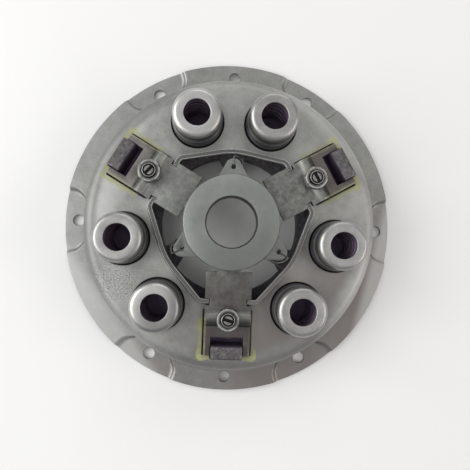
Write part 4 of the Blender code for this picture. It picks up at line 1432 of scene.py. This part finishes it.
def buildClips(material):
    # each hooks up through an ear's hole, round the ear's tip and down, then under the dome
    s = clipSizes
    r = ringSizes
    lift = s["wire"] + gap
    stem = r["earHoleCircle"] + r["earHole"] - lift
    high = r["top"] - r["earDrop"] + lift
    low = r["top"] - r["earDrop"] - r["earThickness"] - lift
    foot = coverSizes["height"] - coverSizes["sheet"] - lift
    corners = [(stem - s["hook"], 0.0, low), (stem, 0.0, low), (stem, 0.0, high)]
    pieces = s["loopPieces"]
    radius = r["earTip"] + s["loopClearance"]
    loop = arc((r["earHoleCircle"], 0.0), radius, 0.0, -s["loopAngle"], pieces)
    corners += [(x, y, high + (low - high) * i / pieces) for i, (x, y) in enumerate(loop)]
    x, y = corners[-1][:2]
    corners += [(x, y, foot), (coverSizes["lipArc"] + s["reach"], y, foot)]
    clip = wireOf("clipForm", roundedPath(corners, s["bend"], 6), s["wire"])
    for i, angle in enumerate(earAngles, 1):
        piece = spunCopies(f"wireClip{i}", clip, [angle])
        dress(piece, material, 60.0)
        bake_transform(piece)
        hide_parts(f"ring_clip_{i}")
    drop(clip)


# Floor, light and camera
stageSizes = {
    "floorHalf": 3.0,
    "floorDrop": 0.2 * mm,
    "cameraPlace": (-0.01275, -0.01955, 0.3523),
    "cameraTurn": (0.0375, -0.0500, 0.0365),
    "focalPixels": 524.7,
    "imagePixels": 470.0,
    "sensor": 36.0,
    "clipStart": 20.0 * mm,
}
# place, width and depth, brightness and tint of each panel
lightPanels = {
    "overLeft": ((-0.58, -0.16, 1.5), (1.2, 0.6), 1.0, (1.0, 1.0, 0.99)),
    "overRight": ((0.62, 0.00, 1.5), (1.1, 0.5), 0.9, (1.0, 0.99, 0.98)),
    "overTop": ((-0.05, 0.80, 1.5), (0.9, 0.5), 0.5, (1.0, 1.0, 0.97)),
    "left": ((-1.2, 0.1, 0.9), (1.4, 0.9), 4.2, (0.99, 1.0, 1.0)),
    "right": ((1.2, -0.2, 0.8), (1.0, 0.45), 3.5, (1.0, 0.95, 0.93)),
    "back": ((0.2, 1.4, 0.9), (1.4, 0.6), 1.9, (1.0, 1.0, 0.98)),
}
worldLook = {"tint": (0.97, 0.98, 1.0), "strength": 0.39}


def buildStage(material):
    s = stageSizes
    form = bmesh.new()
    bmesh.ops.create_grid(form, x_segments=2, y_segments=2, size=s["floorHalf"])
    floor = pieceOf("floorSheet", form)
    floor.data.transform(Matrix.Translation((0, 0, -s["floorDrop"])))
    dress(floor, material)


def buildLights():
    for name, (place, size, glow, tint) in lightPanels.items():
        light = bpy.data.lights.new(name, "AREA")
        light.shape = "RECTANGLE"
        light.size, light.size_y = size
        light.energy = glow * math.pi * light.size * light.size_y
        light.color = tint
        lamp = addPiece(name, light)
        lamp.location = place
        lamp.rotation_euler = Vector(place).to_track_quat("Z", "Y").to_euler()
    world = bpy.data.worlds.new("studio")
    world.use_nodes = True
    background = world.node_tree.nodes["Background"]
    background.inputs["Color"].default_value = (*worldLook["tint"], 1.0)
    background.inputs["Strength"].default_value = worldLook["strength"]
    bpy.context.scene.world = world
    bpy.context.scene.view_settings.view_transform = "Standard"


def buildCamera():
    s = stageSizes
    lens = bpy.data.cameras.new("camera")
    lens.sensor_width = s["sensor"]
    lens.sensor_fit = "HORIZONTAL"
    lens.lens = s["focalPixels"] / s["imagePixels"] * s["sensor"]
    lens.clip_start = s["clipStart"]
    camera = addPiece("camera", lens)
    camera.location = s["cameraPlace"]
    camera.rotation_euler = s["cameraTurn"]
    bpy.context.scene.camera = camera


buildCamera()
buildStage(floorPaper())
buildLights()
print("stage, lights and camera ready")
buildCover(pressedSteel())
print("cover pressed")
layout = pairedLayout()
buildCups(layout, drawnSteel())
buildSprings(layout, springSteel())
print("cups and springs laid out")
buildLevers(leverSteel())
buildStuds(studSteel())
buildNuts(nutSteel())
print("levers, studs and nuts in place")
buildPressurePlate(castIron())
buildRing(groundSteel())
buildClips(clipSteel())
print("plate, ring and clips in place")
